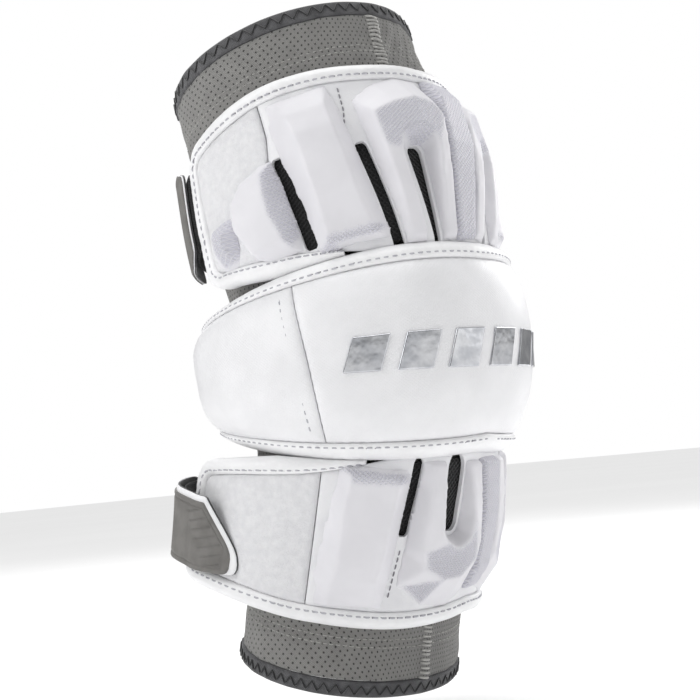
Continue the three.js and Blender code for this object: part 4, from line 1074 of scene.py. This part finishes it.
def tab_layer(name, node, route, pad, width, reach, tips, base, top, material, trim, relief=None,
              grid=(70, 36)):
    """One layer of a pull tab, from base to top above its strap, trimmed back at its upper edge."""
    a, b = np.meshgrid(np.linspace(0, 1, grid[0]), np.linspace(0, 1, grid[1]), indexing="ij")
    start_turn, end_turn = route.last - reach, route.last + TAB_TURN
    run = (end_turn - start_turn) * UNROLLED_DEGREE
    way = trim / run + a * (1 - trim / run)
    turn = start_turn + (end_turn - start_turn) * way
    ramp = np.minimum(1, way * TAB_TAPER)
    low = (tips[0] + (-0.5 - tips[0]) * ramp) * width
    high = (tips[1] + (0.5 - tips[1]) * ramp) * width - trim
    near = np.minimum(way - trim / run, 1 - way) * run
    short = np.clip(TAB_CORNER - near, 0, TAB_CORNER)
    corner = TAB_CORNER - np.sqrt(np.maximum(TAB_CORNER ** 2 - short ** 2, 0))
    low, high = low + corner, np.maximum(high - corner, low + corner + 0.5)
    s = route.middle + low + (high - low) * b
    past = smooth(between(turn, route.last, start_turn)) if reach else 0
    on_strap = route.lift(turn, s) + STRAP_THICKNESS
    floor_height = FOAM_CLEARANCE + on_strap + (pad.surface(turn + 360, s) - on_strap) * past
    edge = np.minimum(np.minimum(b, 1 - b) * (high - low), near)
    roll = np.sqrt(np.clip(1 - (1 - np.clip(edge / 0.8, 0, 1)) ** 2, 0, 1))
    height = floor_height + base + (top - base) * (0.35 + 0.65 * roll)
    if relief is not None:
        height = height + relief(turn, s, edge)
    layer = piece(name, *wall(turn, s, floor_height + base, height), material, "grey_tab")
    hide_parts(node)
    return layer


def lower_tab_relief(turn, s, edge):
    """A groove inside the border, and slanted grip grooves along the free end."""
    border = -0.5 * np.exp(-((edge - 2.4) / 0.45) ** 2)
    across, up = (turn + 360 - GRIP_TURN) * UNROLLED_DEGREE, s - GRIP_S
    inside = across - (up - 8) * 0.54
    grip = smooth(between(inside, 2.5, 4)) * (1 - smooth(between(inside, 13, 15)))
    grip = grip * smooth(between(edge, 3, 3.6))
    off_line = np.abs((up + 0.4 * across) / GRIP_PITCH % 1 - 0.5) * 4.1
    return border - 0.75 * grip * np.exp(-(off_line / 0.5) ** 2)


def pull_tab(name, node, route, pad, width, reach, tips, trim, relief):
    """A pull tab's layers: hook felt, a pale trim and a rubber face."""
    shape = (node, route, pad, width, reach, tips)
    tab_layer(name + "_hook_felt", *shape, 0, 0.9, FELT, 0)
    tab_layer(name + "_trim", *shape, 0.95, 1.7, TRIM_CLOTH, 0)
    grid = (110, 100) if relief else (70, 36)
    tab_layer(name + "_face", *shape, 1.75, TAB_THICKNESS, RUBBER, trim, relief, grid)


upper_route = Route(UPPER_PATH, BICEP, -STRAP_END_GAP, UPPER_STRAP_S,
                    lambda s: BICEP.surface(BICEP_HALF_WRAP, s))
wing_height = FOREARM.surface(FOREARM.end_turn(1, 0.6 * BINDING_WIDTH), -94.0)
wing_height = wing_height + BINDING_PROUD + FOAM_CLEARANCE
lower_route = Route(LOWER_PATH, FOREARM, LOWER_STRAP_OVERLAP, LOWER_STRAP_S, lambda s: wing_height)
web("upper_web", "upper_strap", upper_route, UPPER_STRAP_WIDTH)
web("lower_web", "lower_strap", lower_route, LOWER_STRAP_WIDTH)
pull_tab("upper_pull", "upper_tab", upper_route, BICEP, UPPER_TAB_WIDTH, reach=0, tips=(-0.4, 0.4),
         trim=0.4, relief=None)
pull_tab("lower_pull", "lower_tab", lower_route, FOREARM, LOWER_TAB_WIDTH, reach=LOWER_TAB_REACH,
         tips=(-0.48, -0.25), trim=2.6, relief=lower_tab_relief)


# Floor, light and camera
CENTRE = Vector((0, 0, 6.5 * MM))
VIEW_AZIMUTH, VIEW_ELEVATION, VIEW_ROLL = math.radians(-48), math.radians(-5), math.radians(-5.4)
# metres, pixels a millimetre at the arm, pixels across the picture, millimetres
VIEW_DISTANCE, VIEW_SCALE, PICTURE_WIDTH, SENSOR_WIDTH = 0.64, 2.1, 700, 36
back = Vector((math.sin(VIEW_AZIMUTH) * math.cos(VIEW_ELEVATION),
               -math.cos(VIEW_AZIMUTH) * math.cos(VIEW_ELEVATION), math.sin(VIEW_ELEVATION)))
right = Vector((math.cos(VIEW_AZIMUTH), math.sin(VIEW_AZIMUTH), 0))
camera_data = bpy.data.cameras.new("camera")
camera = in_scene("camera", camera_data)
camera.location = CENTRE - right * 8 * MM + back * VIEW_DISTANCE
up = back.cross(right)
rolled_right = right * math.cos(VIEW_ROLL) + up * math.sin(VIEW_ROLL)
rolled_up = up * math.cos(VIEW_ROLL) - right * math.sin(VIEW_ROLL)
camera.rotation_mode = "QUATERNION"
camera.rotation_quaternion = Matrix((rolled_right, rolled_up, back)).transposed().to_quaternion()
camera_data.sensor_width = SENSOR_WIDTH
camera_data.lens = VIEW_SCALE * VIEW_DISTANCE / MM * SENSOR_WIDTH / PICTURE_WIDTH
camera_data.clip_start, camera_data.clip_end = 0.01, 60
bpy.context.scene.camera = camera

floor_mesh = bpy.data.meshes.new("floor")
FLOOR_HALF, FLOOR_DROP = 12.0, 0.02
level = cad_low.z - FLOOR_DROP
corners = ((-1, -1), (1, -1), (1, 1), (-1, 1))
floor_mesh.from_pydata([(FLOOR_HALF * x, FLOOR_HALF * y, level) for x, y in corners], [], [(0, 1, 2, 3)])
floor = in_scene("floor", floor_mesh)
# pale studio paper: white and matt
paper, tree = start("pale_paper", 0.9)
floor_mesh.materials.append(dress(paper, tint(tree, in_mm(tree), "#fafafa", "#fcfcfc", 600.0)))


def area_light(name, azimuth, elevation, distance, size, power):
    """A round soft light that faces the arm: degrees, metres and watts."""
    data = bpy.data.lights.new(name, "AREA")
    data.shape, data.size, data.energy = "DISK", size, power
    obj = in_scene(name, data)
    a, e = math.radians(azimuth), math.radians(elevation)
    away = Vector((math.sin(a) * math.cos(e), -math.cos(a) * math.cos(e), math.sin(e)))
    obj.location = away * distance
    obj.rotation_mode = "QUATERNION"
    obj.rotation_quaternion = (-away).to_track_quat("-Z", "Y")


overhead_data = bpy.data.lights.new("overhead", "SUN")
overhead_data.energy, overhead_data.angle = 1.7, math.radians(50)
in_scene("overhead", overhead_data).location = (0, 0, 2)
area_light("key", -112, 30, 1.6, 0.9, 9)
area_light("fill", 25, 15, 1.8, 1.2, 3.5)
area_light("right", 82, 25, 1.6, 0.9, 10)
area_light("rim", 150, 35, 1.7, 1.0, 4)
WORLD_LIGHT = 0.32
world = bpy.data.worlds.new("studio")
world.use_nodes = True
sky = world.node_tree.nodes["Background"]
sky.inputs["Color"].default_value = (1, 1, 1, 1)
seen = add(world.node_tree, "ShaderNodeLightPath").outputs["Is Camera Ray"]
glow = add(world.node_tree, "ShaderNodeMapRange", {"Value": seen, "To Min": WORLD_LIGHT, "To Max": 1.0})
world.node_tree.links.new(glow.outputs[0], sky.inputs["Strength"])
bpy.context.scene.world = world
bpy.context.scene.view_settings.view_transform = "Standard"
